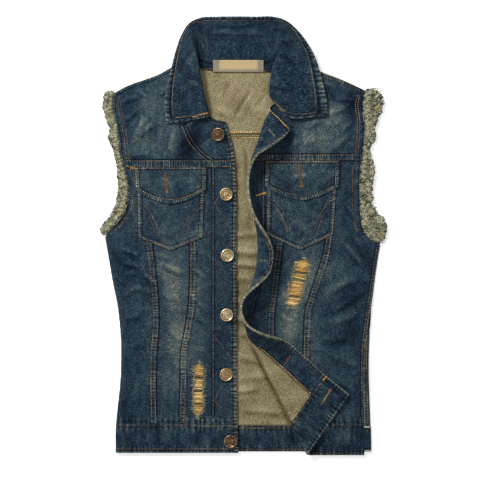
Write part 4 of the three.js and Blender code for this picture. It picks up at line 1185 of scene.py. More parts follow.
# Sewn lines of the right front, unrolled.
YOKE_R = Line([(-20, YOKE_RIGHT_Y), (240, YOKE_RIGHT_Y)], half=5, worn=8, rise=0.7, wear=1.0, groove=0.9)
INNER_R, OUTER_R = (panel_seam(column, YOKE_RIGHT_Y, 0.25) for column in (inner_r, outer_r))
MIDDLE_R = [panel_seam(column, YOKE_RIGHT_Y, 1.0) for column in (inner_r, outer_r)]
EDGE_R = Line(down(edge_r, HEM_RIGHT_Y, 205, 60), half=2.5, rise=0.45, wear=0.9, worn=7, pitch=6, pale=1.0)
PLACKET_R = Line(down(edge_r, BAND_Y, 195, 50, dx=40), half=1.5, rise=0.25, wear=0.4, worn=5)
ARM_R = Line(down(armhole_r, -6.5, 243), half=3, rise=0.3, wear=0.6, worn=8)
BAND_TOP_R = Line([(-40, BAND_Y), (240, BAND_Y)], half=3, rise=0.3, wear=0.75, worn=13, pitch=9.0)
HEM_R = Line([(-40, HEM_RIGHT_Y), (240, HEM_RIGHT_Y)], half=4, rise=0.4, wear=0.8, worn=12, pitch=6.8,
             pale=1.0)
SIDE_R = Line(down(lambda y: side("right", y) - TURN - side("over", y), HEM_Y, UNDERARM_RIGHT_Y, 40),
              half=4, rise=0.5, worn=7)
SHOULDER_R = Line([(67, 289), (105, 281), (150, 267), (180, 255), (207, 243)], half=4, rise=0.5, worn=7)
NECK_R = Line([(-12, 205), (18, 211.5), (40, 216), (56, 228), (61, 255), (67, 289)],
              half=3, rise=0.4, wear=0.6, worn=8)
RIGHT_LINES = [YOKE_R, INNER_R, OUTER_R, EDGE_R, PLACKET_R, ARM_R, BAND_TOP_R, SIDE_R]

# Half the gap between two cut pieces at their seam.
JOIN = 0.08
# The finer grid of the pieces that curl or are small.
FINE_STEP = STEP * 0.88

cloths = {}


def cut_cloth(node, *form, **settings):
    """Make the cloth of a node and keep it by the node's name."""
    cloths[node] = Cloth(node, *form, **settings)


def placket_step(x, y):
    """The doubled front strip of the left front stands a little above the panel."""
    return 0.7 * smooth((x - PLACKET_X + 1.5) / 2.5) * smooth((150 - y) / 12)


def left_pieces():
    turned = lambda y: side("under", y) * smooth((UNDERARM_LEFT_Y - y) / 12)
    outline = lambda y: np.where(y < UNDERARM_LEFT_Y, side("left", y), armhole("left", y))
    start = lambda y: outline(y) + TURN - turned(y)
    low_y, high_y = BAND_Y + JOIN, YOKE_LEFT_Y - JOIN
    cut_cloth(
        "front_left_side", between(start, lambda y: outer_l(y) - JOIN, low_y, high_y),
        left_front, CLOTH, DENIM_SHELL, (100, 437), LEFT_LINES)
    cut_cloth(
        "front_left_middle",
        between(lambda y: outer_l(y) + JOIN, lambda y: inner_l(y) - JOIN, low_y, high_y),
        left_front, CLOTH, DENIM_SHELL, (66, 437), [*MIDDLE_L, YOKE_L, BAND_TOP_L])
    cut_cloth(
        "front_left_inner", between(lambda y: inner_l(y) + JOIN, edge_l, low_y, high_y),
        left_front, CLOTH, DENIM_SHELL, (86, 437), LEFT_LINES, extra=placket_step,
        step=FINE_STEP, keep=outside_rip(RIPS["left"]))
    low_y = YOKE_LEFT_Y + JOIN
    tip = (armhole("left", SHOULDER_LEFT_Y), SHOULDER_LEFT_Y)
    top = [tip, (-187, 255.5), (-150, 267.5), (-121, 283), (-87, 294), (-76, 250), (-64, 212), (-51, 197),
           (-30, 191.5)]
    cut_cloth(
        "front_left_yoke",
        patch(straight((armhole("left", low_y), low_y), (edge_l(low_y), low_y)), lambda t: spline(top, t),
              edge_at(armhole_l, low_y, SHOULDER_LEFT_Y), edge_at(edge_l, low_y, 191.5)),
        left_front, CLOTH, DENIM_SHELL, (230, 150),
        [YOKE_L, ARM_L, NECK_L, SHOULDER_L, EDGE_L, PLACKET_L])
    cut_cloth(
        "hem_band_front_left",
        between(lambda y: side("left", y) + BAND_TURN - side("under", y), lambda y: edge_l(y) + 1.5,
                HEM_Y, BAND_Y),
        left_band, BAND, BAND_SHELL, (235, 48), [BAND_TOP_L, HEM_L, EDGE_L],
        fade=band_fade, slot="denim_band")


def fold_shade(x, y):
    """Painted shadow along the fold of the turned-back front, and soft marks on its inside."""
    near = np.exp(-(((x - roll("line", y) + 8) / 8) ** 2)) * smooth((-180 - y) / 20)
    return 0.05 * noise(x / 20, y / 20, 19) - 0.42 * near


FACING_WIDTH = 41
FACING_BASE = -(CLOTH / 2 + 0.15 + FACING / 2)
LAPEL_SHARE = 0.19


def right_yoke_cut():
    base = YOKE_RIGHT_Y + JOIN
    tip = (armhole("right", SHOULDER_RIGHT_Y), SHOULDER_RIGHT_Y)
    top = [(-12, 205), (18, 211.5), (40, 216), (56, 228), (61, 255), (67, 289), (105, 281), (150, 267),
           (180, 255), tip]
    return patch(straight((edge_r(base), base), (armhole("right", base), base)), lambda t: spline(top, t),
                 edge_at(edge_r, base, 205), edge_at(armhole_r, base, SHOULDER_RIGHT_Y))


def right_pieces():
    low_y, high_y = BAND_Y + JOIN, YOKE_RIGHT_Y - JOIN
    seam_r = lambda y: np.where(
        y < UNDERARM_RIGHT_Y, side("right", y) - TURN - side("over", y) - GAP, armhole("right", y) - 1)
    cut_cloth(
        "front_right_inner", between(edge_r, lambda y: inner_r(y) - JOIN, low_y, high_y),
        right_front, CLOTH, DENIM_SHELL, (92, 447), RIGHT_LINES, step=FINE_STEP, shade=fold_shade)
    cut_cloth(
        "front_right_middle",
        between(lambda y: inner_r(y) + JOIN, lambda y: outer_r(y) - JOIN, low_y, high_y),
        right_front, CLOTH, DENIM_SHELL, (84, 447), [*MIDDLE_R, YOKE_R, BAND_TOP_R, EDGE_R],
        step=FINE_STEP, keep=outside_rip(RIPS["right"]), shade=fold_shade)
    cut_cloth(
        "front_right_side", between(lambda y: outer_r(y) + JOIN, seam_r, low_y, high_y),
        right_front, CLOTH, DENIM_SHELL, (90, 447), RIGHT_LINES)
    cut_cloth(
        "front_right_yoke", right_yoke_cut(), right_front, CLOTH, DENIM_SHELL, (225, 150),
        [YOKE_R, ARM_R, NECK_R, SHOULDER_R, EDGE_R])
    cut_cloth(
        "hem_band_front_right",
        between(lambda y: edge_r(y) - 0.5, lambda y: side("right", y) - BAND_TURN - side("over", y) - GAP,
                HEM_RIGHT_Y, BAND_Y),
        right_band, BAND, BAND_SHELL, (225, 52), [BAND_TOP_R, HEM_R, EDGE_R], step=FINE_STEP,
        fade=band_fade, inside_lines=[BAND_TOP_R, HEM_R, EDGE_R], slot="denim_band")
    inside = [EDGE_R, PLACKET_R]
    cut_cloth(
        "front_right_facing",
        between(lambda y: edge_r(y) + 0.3, lambda y: edge_r(y) + FACING_WIDTH, low_y, high_y),
        right_front, FACING, [KHAKI, DENIM_DARK, EDGE], (41, 447), [], base=FACING_BASE,
        fade=facing_fade, inside_lines=inside, slot="denim_band", step=FINE_STEP)
    whole = right_yoke_cut()
    cut_cloth(
        "front_right_lapel_facing", lambda u, v: whole(u * LAPEL_SHARE, v),
        right_front, FACING, [KHAKI, DENIM_DARK, EDGE], (45, 80), [], base=FACING_BASE,
        fade=facing_fade, inside_lines=[EDGE_R, NECK_R, PLACKET_R], slot="denim_band", step=FINE_STEP)


BACK_THICK = 1.2
BACK_LIFT = 0.25


def back_shade(x, y):
    """Soft marks of the creases, partly wash and partly painted shade, and a painted shadow where the
    turned-back front's fold lies on the back.
    """
    fold_contact_shadow = np.exp(-(((x - roll("line", y) + 7) / 4) ** 2)) * smooth((-180 - y) / 20)
    return 1.9 * crease_wash_and_shade(BACK_CREASES, x, y) + 0.05 * noise(x / 20, y / 20, 19) - 0.35 * fold_contact_shadow


def back_folds(x, y):
    return np.minimum(crease_sum(BACK_CREASES, x, y), 1.5) + 0.2 * noise(x / 9, y / 9, 8)


def back_pieces():
    """The back lies on the surface. Its inside faces up and its denim face is underneath."""
    rest = lambda y, turn: np.maximum(
        side("under", y) * smooth((UNDERARM_LEFT_Y - y) / 12) - math.pi * turn, 0)
    left = lambda y: np.where(
        y < UNDERARM_LEFT_Y, side("left", y) + TURN + rest(y, TURN) + 1, armhole("back_left", y))
    right = lambda y: np.where(
        y > UNDERARM_RIGHT_Y, armhole("back_right", y),
        side("right", y) - TURN + (math.pi * TURN + side("over", y)) * smooth((UNDERARM_RIGHT_Y - y) / 10))
    yoke = Line([(-240, BACK_YOKE_Y), (240, BACK_YOKE_Y)], half=1.2, rise=0.3, wear=0.2, worn=5, groove=1.6)
    place = lambda x, y: back_cloth(x, y) + [0, 0, BACK_LIFT - (CLOTH - BACK_THICK) / 2]
    overlap = Line(down(right, HEM_Y, UNDERARM_RIGHT_Y, 40), half=3, rise=0.2, wear=0.9, worn=6, pale=0.5)
    cut_cloth(
        "back_panel", between(left, right, BAND_Y - 3 + JOIN, BACK_YOKE_Y - JOIN), place, BACK_THICK,
        BACK_SHELL, (450, 490), [yoke], extra=back_folds, folded=True, shade=back_shade, step=BACK_STEP,
        slot="denim_inside", fade=back_fade, inside_lines=[overlap])
    base = BACK_YOKE_Y + JOIN
    ends = (("back_left", SHOULDER_LEFT_Y), ("back_right", SHOULDER_RIGHT_Y))
    tips = [(armhole(name, y), y) for name, y in ends]
    top = [tips[0], (-198, 251.5), (-168, 262.5), (-137, 274.5), (-112, 288), (-89, 294), (-74, 288),
           (-45, 287), (-11, 287), (22, 287), (50, 288), (66, 291), (95, 285), (128, 277), (155, 267.5),
           (185, 254.5), tips[1]]
    cut = patch(
        straight((armhole("back_left", base), base), (armhole("back_right", base), base)),
        lambda t: spline(top, t), *(edge_at(columned(armhole, name), base, y) for name, y in ends))
    cut_cloth(
        "back_yoke", cut, place, BACK_THICK, BACK_SHELL, (440, 120), [yoke], extra=back_folds, folded=True,
        shade=back_shade, step=BACK_STEP, slot="denim_inside", fade=back_fade)
    band = lambda x, y: back_band(x, y) + [0, 0, 0.15]
    hem = Line([(-240, HEM_Y + 2), (240, HEM_Y + 2)], half=4, rise=0.3, wear=0.8, worn=12, pitch=6.8)
    top_line = Line([(-240, BAND_Y - 3), (240, BAND_Y - 3)], half=4, rise=0.3, wear=0.8, worn=13, pitch=9.0)
    cut_cloth(
        "hem_band_back",
        between(lambda y: side("left", y) + BAND_TURN + rest(y, BAND_TURN) + 1,
                lambda y: side("right", y) - BAND_TURN + math.pi * BAND_TURN + side("over", y),
                HEM_Y + 2, BAND_Y - 3),
        band, BAND - 0.3, BAND_SHELL, (440, 46), [hem, top_line], step=BACK_STEP * 0.7,
        slot="denim_band", fade=band_fade)


def back_fade(x, y):
    return 0.44 + 0.12 * np.exp(-((x / 90) ** 2) - ((y - 20) / 160) ** 2) + 0.05 * noise(x / 30, y / 30, 17)


def collar_piece():
    free = Line([(0, 0), (COLLAR_LENGTH, 0)], half=4.5, rise=0.55, wear=0.85, worn=6.5, pitch=6.6, pale=0.9)
    ends = [Line([(x, 0), (x, COLLAR_DEPTH)], half=4.2, rise=0.45, wear=0.7, worn=6, pitch=6.4, pale=0.8)
            for x in (0, COLLAR_LENGTH)]
    root = Line([(0, COLLAR_DEPTH), (COLLAR_LENGTH, COLLAR_DEPTH)], half=3, rise=0.3, wear=0.4)
    crest = [(29, 60), (130, 47), (169, 31)]
    mirrored = [(COLLAR_LENGTH - x, y) for x, y in crest]
    crests = [Line(course, half=1, rise=0, wear=0.35, worn=9) for course in (crest, mirrored)]
    cut_cloth("collar", lambda u, v: (COLLAR_LENGTH * u, COLLAR_DEPTH * v), collar_cloth, COLLAR - 0.4,
              BAND_SHELL, (COLLAR_LENGTH, COLLAR_DEPTH), [free, *ends, root, *crests],
              fade=collar_fade_and_shade, inside_lines=[free, *ends], slot="denim_band")


def pointed(x, top, corner, tip, half, lean, rounding):
    """The cut of a pocket or flap: straight top, sides, and a lower edge down to a point."""
    def cut(u, v):
        off = np.abs(2 * u - 1)
        lower = mix(tip, corner, mix(off, off * off, rounding))
        narrow = 1 - 0.045 * (1 - v) * (1 - rounding)
        return x + (2 * u - 1) * half * narrow + lean * (1 - v), mix(lower, top, v)
    return cut


def outline_of(cut, inset_u, inset_v):
    """Left side, lower edge and right side of a pointed cut, moved in by shares."""
    count = 24
    t = np.linspace(0, 1, count)
    sides = [(np.full(count, inset_u), mix(1, inset_v, t)),
             (mix(inset_u, 1 - inset_u, t), np.full(count, inset_v)),
             (np.full(count, 1 - inset_u), mix(inset_v, 1, t))]
    return [np.stack(cut(u, v), 1) for u, v in sides]


def on_front(x, y):
    return stack(x, y, front_height(x, y))


def pocket_cut(p):
    return pointed(p["x"], p["top"], p["corner"], p["tip"], p["half"], p["lean"], 0.1)


def flap_cut(p):
    return pointed(p["x"], p["flap_top"], p["flap_side"], p["flap_tip"], p["flap_half"], p["lean"] / 4, 0.75)


def pocket_pieces():
    for name, p in POCKETS.items():
        cut = pocket_cut(p)
        edge = Line(np.concatenate(outline_of(cut, 0, 0)), half=6, rise=0.45, wear=0.85, worn=8, pale=0.6)
        puff = lambda x, y, q=p: 0.5 * np.exp(
            -(((x - q["x"]) / 36) ** 2) - ((y - (q["corner"] + q["top"]) / 2 + 10) / 40) ** 2)
        cut_cloth("pocket_" + name, cut, on_front, PATCH, DENIM_SHELL, (118, 128), [edge],
                  base=PATCH_LIFT, extra=puff, step=FINE_STEP, fade=pocket_fade_and_shade)
        flap = flap_cut(p)
        rim = Line(np.concatenate(outline_of(flap, 0, 0)),
                   half=6, rise=0.4, wear=0.95, worn=8, pale=0.4, groove=0.7)
        head = Line([(p["x"] - 62, p["flap_top"]), (p["x"] + 62, p["flap_top"])],
                    half=3, rise=0.3, wear=0.8)
        cut_cloth("pocket_flap_" + name, flap, on_front, FLAP, [DENIM, DENIM, EDGE], (120, 62), [rim, head],
                  base=FLAP_LIFT - 0.2, step=FINE_STEP, slot="denim_band", fade=pocket_fade_and_shade)


back_pieces()
left_pieces()
right_pieces()
pocket_pieces()
collar_piece()


def level(y, x0, x1):
    """A level course."""
    count = 60
    return np.stack([np.linspace(x0, x1, count), np.full(count, y)], 1)


def clip_course(course, low_y, high_y):
    """The part of a course between two heights."""
    return course[(course[:, 1] >= low_y) & (course[:, 1] <= high_y)]


# Rows beside the panel seams: how far from the seam, and where they start and end.
BESIDE_SEAM = 3.4
ROWS_FROM = BAND_Y + 2
ROWS_TO_L = YOKE_LEFT_Y - 2.5
ROWS_TO_R = YOKE_RIGHT_Y - 3


def left_stitches():
    c = cloths
    rows = []
    for table_x, left, right in ((outer_l, "front_left_side", "front_left_middle"),
                                 (inner_l, "front_left_middle", "front_left_inner")):
        rows.append((c[left], down(table_x, ROWS_FROM, ROWS_TO_L, dx=-BESIDE_SEAM)))
        rows.append((c[right], down(table_x, ROWS_FROM, ROWS_TO_L, dx=BESIDE_SEAM)))
    rows.append((c["front_left_yoke"], level(YOKE_LEFT_Y + 4.6, armhole("left", 126) + 3, -17)))
    lower = YOKE_LEFT_Y - 5.2
    rows.append((c["front_left_side"], level(lower, armhole("left", 116) + 3, -164.5)))
    rows.append((c["front_left_middle"], level(lower, -163.5, -82)))
    rows.append((c["front_left_inner"], level(lower, -81, -16)))
    inner, yoke = c["front_left_inner"], c["front_left_yoke"]
    rows.append((inner, [(PLACKET_X, 118), (PLACKET_X, ROWS_FROM)]))
    curve = np.array(spline(PLACKET_CURVE[:4], np.linspace(0, 1, 40)))
    rows.append((yoke, clip_course(curve, YOKE_LEFT_Y + 1, 260)))
    rows.append((yoke, clip_course(offset(curve, -5.5), YOKE_LEFT_Y + 1, 260)))
    zigzag = [(-16, 102), (-49, 55), (-15, 0), (-49, -54), (-15, -113), (-49, -168), (-15, -212),
              (-49, -276), (-16, -312)]
    sew("stitches_placket", [(inner, zigzag)], THREAD_LOOK, 0.4, 0.35)
    rows.append((inner, down(edge_l, ROWS_FROM, ROWS_TO_L, dx=-4)))
    rows.append((yoke, down(edge_l, 124, 184, dx=-4)))
    neck = spline([(-30, 191.5), (-51, 197), (-64, 212), (-76, 250)], np.linspace(0, 1, 40))
    rows.append((yoke, offset(neck, 5)))
    arm = down(armhole_l, 8, 236)
    for dx in (9.5, 13.5):
        rows.append((c["front_left_side"], clip_course(arm, 8, 118) + [dx, 0]))
        rows.append((yoke, clip_course(arm, 124, 236) + [dx, 0]))
    band = c["hem_band_front_left"]
    for y in (BAND_Y - 3.2, HEM_Y + 6.5):
        rows.append((band, level(y, -212, -13)))
    rows.append((band, [(-14.5, HEM_Y + 7), (-14.5, BAND_Y - 4)]))
    sew("stitches_left", rows, THREAD_LOOK)


def right_stitches():
    c = cloths
    rows = []
    for table_x, left, right in ((inner_r, "front_right_inner", "front_right_middle"),
                                 (outer_r, "front_right_middle", "front_right_side")):
        rows.append((c[left], down(table_x, ROWS_FROM, ROWS_TO_R, dx=-BESIDE_SEAM)))
        rows.append((c[right], down(table_x, ROWS_FROM, ROWS_TO_R, dx=BESIDE_SEAM)))
    rows.append((c["front_right_yoke"], level(YOKE_RIGHT_Y + 4.4, -2, armhole("right", 136) - 4)))
    lower = YOKE_RIGHT_Y - 4.4
    rows.append((c["front_right_inner"], level(lower, -2, 61)))
    rows.append((c["front_right_middle"], level(lower, 63, 149)))
    rows.append((c["front_right_side"], level(lower, 151, armhole("right", 127) - 4)))
    inner, yoke, facing = c["front_right_inner"], c["front_right_yoke"], c["front_right_facing"]
    rows.append((inner, down(edge_r, ROWS_FROM, ROWS_TO_R, dx=4.5)))
    rows.append((inner, down(edge_r, ROWS_FROM, ROWS_TO_R, dx=39)))
    rows.append((facing, down(edge_r, ROWS_FROM, ROWS_TO_R, dx=5), -1))
    rows.append((facing, [(8.5, -247), (-20, -244)], -1))
    rows.append((facing, [(8.5, -249), (-20, -246)], -1))
    lapel = c["front_right_lapel_facing"]
    rows.append((lapel, down(edge_r, 134, 198, dx=5), -1))
    arm = down(armhole_r, 6, 238)
    side_piece = c["front_right_side"]
    for dx in (-10, -14):
        rows.append((side_piece, clip_course(arm, 6, 128) + [dx, 0]))
        rows.append((yoke, clip_course(arm, 136, 238) + [dx, 0]))
    rows.append((side_piece, down(lambda y: side("right", y) - TURN - side("over", y), -314, -20, dx=-2.5)))
    wrapped = down(lambda y: side("right", y) + (math.pi - 1) * TURN, -310, -120)
    rows.append((c["back_panel"], wrapped + [2.4, 0], -1))
    rows.append((yoke, offset(spline([(67, 289), (105, 281), (150, 267), (180, 255), (205, 244)],
                                     np.linspace(0.3, 1, 40)), -5)))
    band = c["hem_band_front_right"]
    for y in (BAND_Y - 3.2, HEM_RIGHT_Y + 4):
        rows.append((band, level(y, 100, 198)))
    rows.append((band, level(BAND_Y - 3.2, -20, 90), -1))
    sew("stitches_right", rows, THREAD_LOOK)
    bright = [
        (facing, down(edge_r, ROWS_FROM, -190, dx=39), -1),
        (lapel, spline([(-9, 204), (18, 210), (34, 213)], np.linspace(0, 1, 30)), -1),
        (lapel, spline([(-9, 203), (18, 209), (34, 212)], np.linspace(0, 1, 30)), -1),
        (cloths["back_panel"], [(60, -284), (75, -312)]),
        (cloths["back_panel"], [(63, -284), (78, -311)]),
    ]
    sew("stitches_bright", bright, GOLD_LOOK, 0.65)


# Two plain arcs a side of a pocket: distance from its middle and height above its corners.
POCKET_ARCS = [
    [(56, 61), (44, 53), (32, 37.5), (23, 17), (17.5, -4)],
    [(56, 53), (46, 46), (36.5, 33), (29, 16), (24, -1)],
]


def pocket_stitches():
    rows = []
    for name, p in POCKETS.items():
        pocket, flap = cloths["pocket_" + name], cloths["pocket_flap_" + name]
        rows += [(pocket, resample(part, 80)) for part in outline_of(pocket_cut(p), 0.02, 0.022)]
        rows += [(flap, resample(part, 80)) for part in outline_of(flap_cut(p), 0.045, 0.11)]
        rows.append((flap, level(p["flap_top"] - 2, p["x"] - 57, p["x"] + 57)))
        for way in (-1, 1):
            for arc in POCKET_ARCS:
                course = [(p["x"] + way * a, p["corner"] + b) for a, b in arc]
                rows.append((pocket, spline(course, np.linspace(0, 1, 50))))
    sew("stitches_pockets", rows, THREAD_LOOK)


def collar_stitches():
    c = cloths["collar"]
    rows = [
        (c, [(7, 7.5), (COLLAR_LENGTH - 7, 7.5)]),
        (c, [(7, 7.5), (7, 74)]),
        (c, [(COLLAR_LENGTH - 7, 7.5), (COLLAR_LENGTH - 7, 74)]),
    ]
    sew("stitches_collar", rows, THREAD_LOOK)


def back_stitches():
    panel, yoke, band = cloths["back_panel"], cloths["back_yoke"], cloths["hem_band_back"]
    rows = [(band, level(BAND_Y - 7, -40, 110)), (band, level(HEM_Y + 6, -40, 110))]
    sew("stitches_back", rows, THREAD_LOOK)
    bold = [
        (yoke, level(BACK_YOKE_Y + 4.6, -60, 70)),
        (yoke, level(BACK_YOKE_Y + 3.4, -60, 70)),
        (panel, level(BACK_YOKE_Y - 4.6, -60, 70)),
    ]
    sew("stitches_back_yoke", bold, GOLD_LOOK, 0.95)


left_stitches()
right_stitches()
pocket_stitches()
collar_stitches()
back_stitches()


def span(start, end):
    """The ends of a short line as arrays, its length, its direction and the direction to its left."""
    start, end = np.array(start, float), np.array(end, float)
    length = np.linalg.norm(end - start)
    way = (end - start) / length
    return start, end, length, way, np.array([-way[1], way[0]])


def buttonhole(name, cloth, start, end, facing, look, half=2.0, eye=2.7):
    """A worked buttonhole: close bars of thread down both sides of a slit, and round its eye. The slit is
    drawn as near-black tubes, a painted shade of the opening.
    """
    start, end, length, way, across = span(start, end)
    count = int(length / 0.8)
    paths = []
    for sign in (-1, 1):
        for i in range(count):
            share = (i + 0.5) / count
            middle = start + way * share * length
            reach = half * (0.75 + 0.3 * share + 0.12 * math.sin(i * 2.3))
            paths.append(np.linspace(middle + across * sign * 0.55, middle + across * sign * reach, 4))
    for angle in np.linspace(-0.75, 0.75, 15) * math.pi:
        out = way * math.cos(angle) + across * math.sin(angle)
        paths.append(np.linspace(end + out * 0.9, end + out * eye, 4))
    radii = np.tile([0.4, 0.48, 0.48, 0.34], (len(paths), 1))
    slit = np.linspace(start, end, 9)
    for a, b in zip(slit[:-1], slit[1:]):
        paths.append(np.linspace(a, b, 4))
    radii = np.concatenate([radii, np.full((8, 4), 0.62)])
    plan = np.array(paths)
    p, n = cloth.on(plan[..., 0], plan[..., 1], 0.0, facing)
    lifts = np.tile([0.05, 0.35, 0.3, 0.0], (len(p), 1))
    lifts[-8:] = -0.1
    tone = 0.5 * noise(np.arange(len(p)) * 0.7, 0, 41)
    # Near-black tubes in the slit: painted shade of the opening.
    tone[-8:] = -1.0
    tube_object(name, p + n * lifts[..., None], radii, look, tone=tone)


BUTTONHOLES = [
    ("pocket_left", "pocket_flap_left", (-131, 106), (-129, 75), 1, THREAD_LOOK),
    ("pocket_right", "pocket_flap_right", (94, 121), (97, 84), 1, THREAD_LOOK),
    ("band", "hem_band_front_right", (23, -340), (-7, -338), -1, THREAD_LOOK, 1.8),
    ("lapel", "front_right_lapel_facing", (0, 178), (16, 184), -1, PALE_LOOK, 1.1, 1.4),
    ("facing", "front_right_facing", (0, -38), (13, -40), -1, PALE_LOOK, 1.1, 1.4),
]
for name, node, *rest in BUTTONHOLES:
    buttonhole("buttonhole_" + name, cloths[node], *rest)


def bar(cloth, start, end, facing=1, wide=1.6):
    """A bartack: close threads across a short line."""
    start, _, length, way, across = span(start, end)
    middles = start + way * np.arange(0.3, length, 0.75)[:, None]
    plan = middles[:, None] + np.linspace(-1, 1, 4)[:, None] * (across * wide + 0.5 * way)
    p, n = cloth.on(plan[..., 0], plan[..., 1], 0.0, facing)
    return p + n * np.array([0.0, 0.55, 0.55, 0.0])[None, :, None]


BARS = [
    bar(cloths["collar"], (COLLAR_LENGTH - 7, 34), (COLLAR_LENGTH - 8, 52)),
    bar(cloths["collar"], (COLLAR_LENGTH - 5.5, 28), (COLLAR_LENGTH - 5, 34), wide=1.0),
    bar(cloths["collar"], (6, 30), (6, 44)),
    bar(cloths["front_right_inner"], (20, 68), (38, 72)),
    bar(cloths["hem_band_front_right"], (-22, -317.5), (-14, -317.5), -1),
    bar(cloths["front_left_side"], (-190, 114), (-181, 113.5)),
    bar(cloths["front_right_yoke"], (46, 194), (56, 186), wide=0.6),
]
bits = np.concatenate([
    bar(cloths["hem_band_front_right"], (14, -339.4), (-5, -338.2), -1, wide=0.7)[::2],
    bar(cloths["hem_band_back"], (216, -320.6), (226, -320.6), -1),
    bar(cloths["hem_band_back"], (216, -360.5), (226, -360.5), -1, wide=1.0),
])
tube_object("pale_bits", bits, np.tile([0.2, 0.4, 0.4, 0.2], (len(bits), 1)), PALE_LOOK,
            tone=np.full(len(bits), 0.9))
bar_paths = np.concatenate(BARS)
bar_radii = np.tile([0.3, 0.55, 0.55, 0.3], (len(bar_paths), 1))
bar_tones = 0.3 * noise(np.arange(len(bar_paths)), 0, 5) - 0.25
tube_object("bartacks", bar_paths, bar_radii, GOLD_LOOK, tone=bar_tones)


# A ring of small beads on a button: its inner and outer radius, how high they stand and how many.
BEADS = (5.0, 7.2, 0.4, 28)


def beads(angles, radius):
    inner, outer, height, count = BEADS
    inside = smooth((radius - inner) / 0.5) * smooth((outer - radius) / 0.5)
    return height * inside * (0.5 + 0.5 * np.cos(angles * count))


BUTTON_PROFILE = [
    (0, 3.3), (1.5, 3.28), (3.2, 3.1), (4.2, 2.9), (4.8, 2.75), (5.4, 2.85), (6.0, 3.0), (6.6, 2.95),
    (7.2, 2.8), (7.8, 2.95), (8.3, 3.7), (8.9, 4.15), (9.5, 4.1), (10.0, 3.5), (10.2, 2.8), (10.0, 2.2),
    (9.0, 1.9), (4.5, 1.3), (4.2, 0.0), (0, 0),
]
BUTTON_SEGMENTS = 56
BUTTON_SCALE = 1.07
BRASS_TONES = [
    ("pale", 0.36, [(0.3, (0.16, 0.1, 0.045)), (0.5, (0.5, 0.38, 0.2)), (0.75, (0.85, 0.76, 0.55))]),
    ("brown", 0.38, [(0.3, (0.09, 0.05, 0.025)), (0.52, (0.34, 0.22, 0.1)), (0.8, (0.72, 0.58, 0.38))]),
    ("dark", 0.36, [(0.3, (0.03, 0.018, 0.01)), (0.55, (0.15, 0.085, 0.04)), (0.85, (0.5, 0.36, 0.22))]),
]
BUTTON_LOOKS = {tone: brass("brass_" + tone, stops, roughness) for tone, roughness, stops in BRASS_TONES}
BUTTON_KINDS = ["dark", "brown", "pale", "pale", "brown", "dark"]
BUTTON_TILTS = [(0.28, 0.22), (0.04, -0.03), (-0.03, 0.04), (0.03, 0.03), (-0.04, -0.02), (0.05, 0.04)]


def button(i):
    x, y = BUTTONS[i]
    rings = []
    angles = np.arange(BUTTON_SEGMENTS) * 2 * math.pi / BUTTON_SEGMENTS
    for k, (radius, height) in enumerate(BUTTON_PROFILE):
        bead = beads(angles, radius) if k < 12 else 0
        petal = 0.22 * np.cos(angles * 8 + i) * math.exp(-(((radius - 2.6) / 1.1) ** 2)) if k < 6 else 0
        wide = radius * BUTTON_SCALE
        rings.append(stack(wide * np.cos(angles), wide * np.sin(angles), height + bead + petal))
    points = np.concatenate([rings[0].mean(0)[None], *rings[1:-1], rings[-1].mean(0)[None]])
    n = BUTTON_SEGMENTS
    faces = []
    for s in range(n):
        faces.append((0, 1 + s, 1 + (s + 1) % n))
    for r in range(len(rings) - 3):
        base = 1 + r * n
        for s in range(n):
            faces.append((base + s, base + n + s, base + n + (s + 1) % n, base + (s + 1) % n))
    tail = len(points) - 1
    for s in range(n):
        faces.append((tail, tail - n + (s + 1) % n, tail - n + s))
    tilt_x, tilt_y = BUTTON_TILTS[i]
    points[:, 2] += points[:, 0] * tilt_x + points[:, 1] * tilt_y + 10 * max(abs(tilt_x), abs(tilt_y)) * 0.6
    low_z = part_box(f"button_{i + 1}")[0].z / MM
    points += [x, y, low_z]
    obj = mesh_object(f"shank_button_{i + 1}", points, faces, [BUTTON_LOOKS[BUTTON_KINDS[i]]])
    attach(obj, BODY)
    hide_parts(f"button_{i + 1}")


for number in range(len(BUTTONS)):
    button(number)


# The frayed armholes. How far out the fray reaches on each side.
reach_table = Table("left right", [
    (-8, -233, 233), (2, -236, 239), (12, -240.5, 241.5), (31, -226, 232.5), (45, -218.5, 218),
    (69, -212, 217.5), (86, -210.8, 216.5), (111, -213, 220.5), (134, -217, 214.5), (151, -221.5, 213),
    (166, -227.5, 223), (180, -225, 221), (200, -232.5, 227), (225, -237, 236.5), (246, -231, 222),
])
TUFT = 7.5


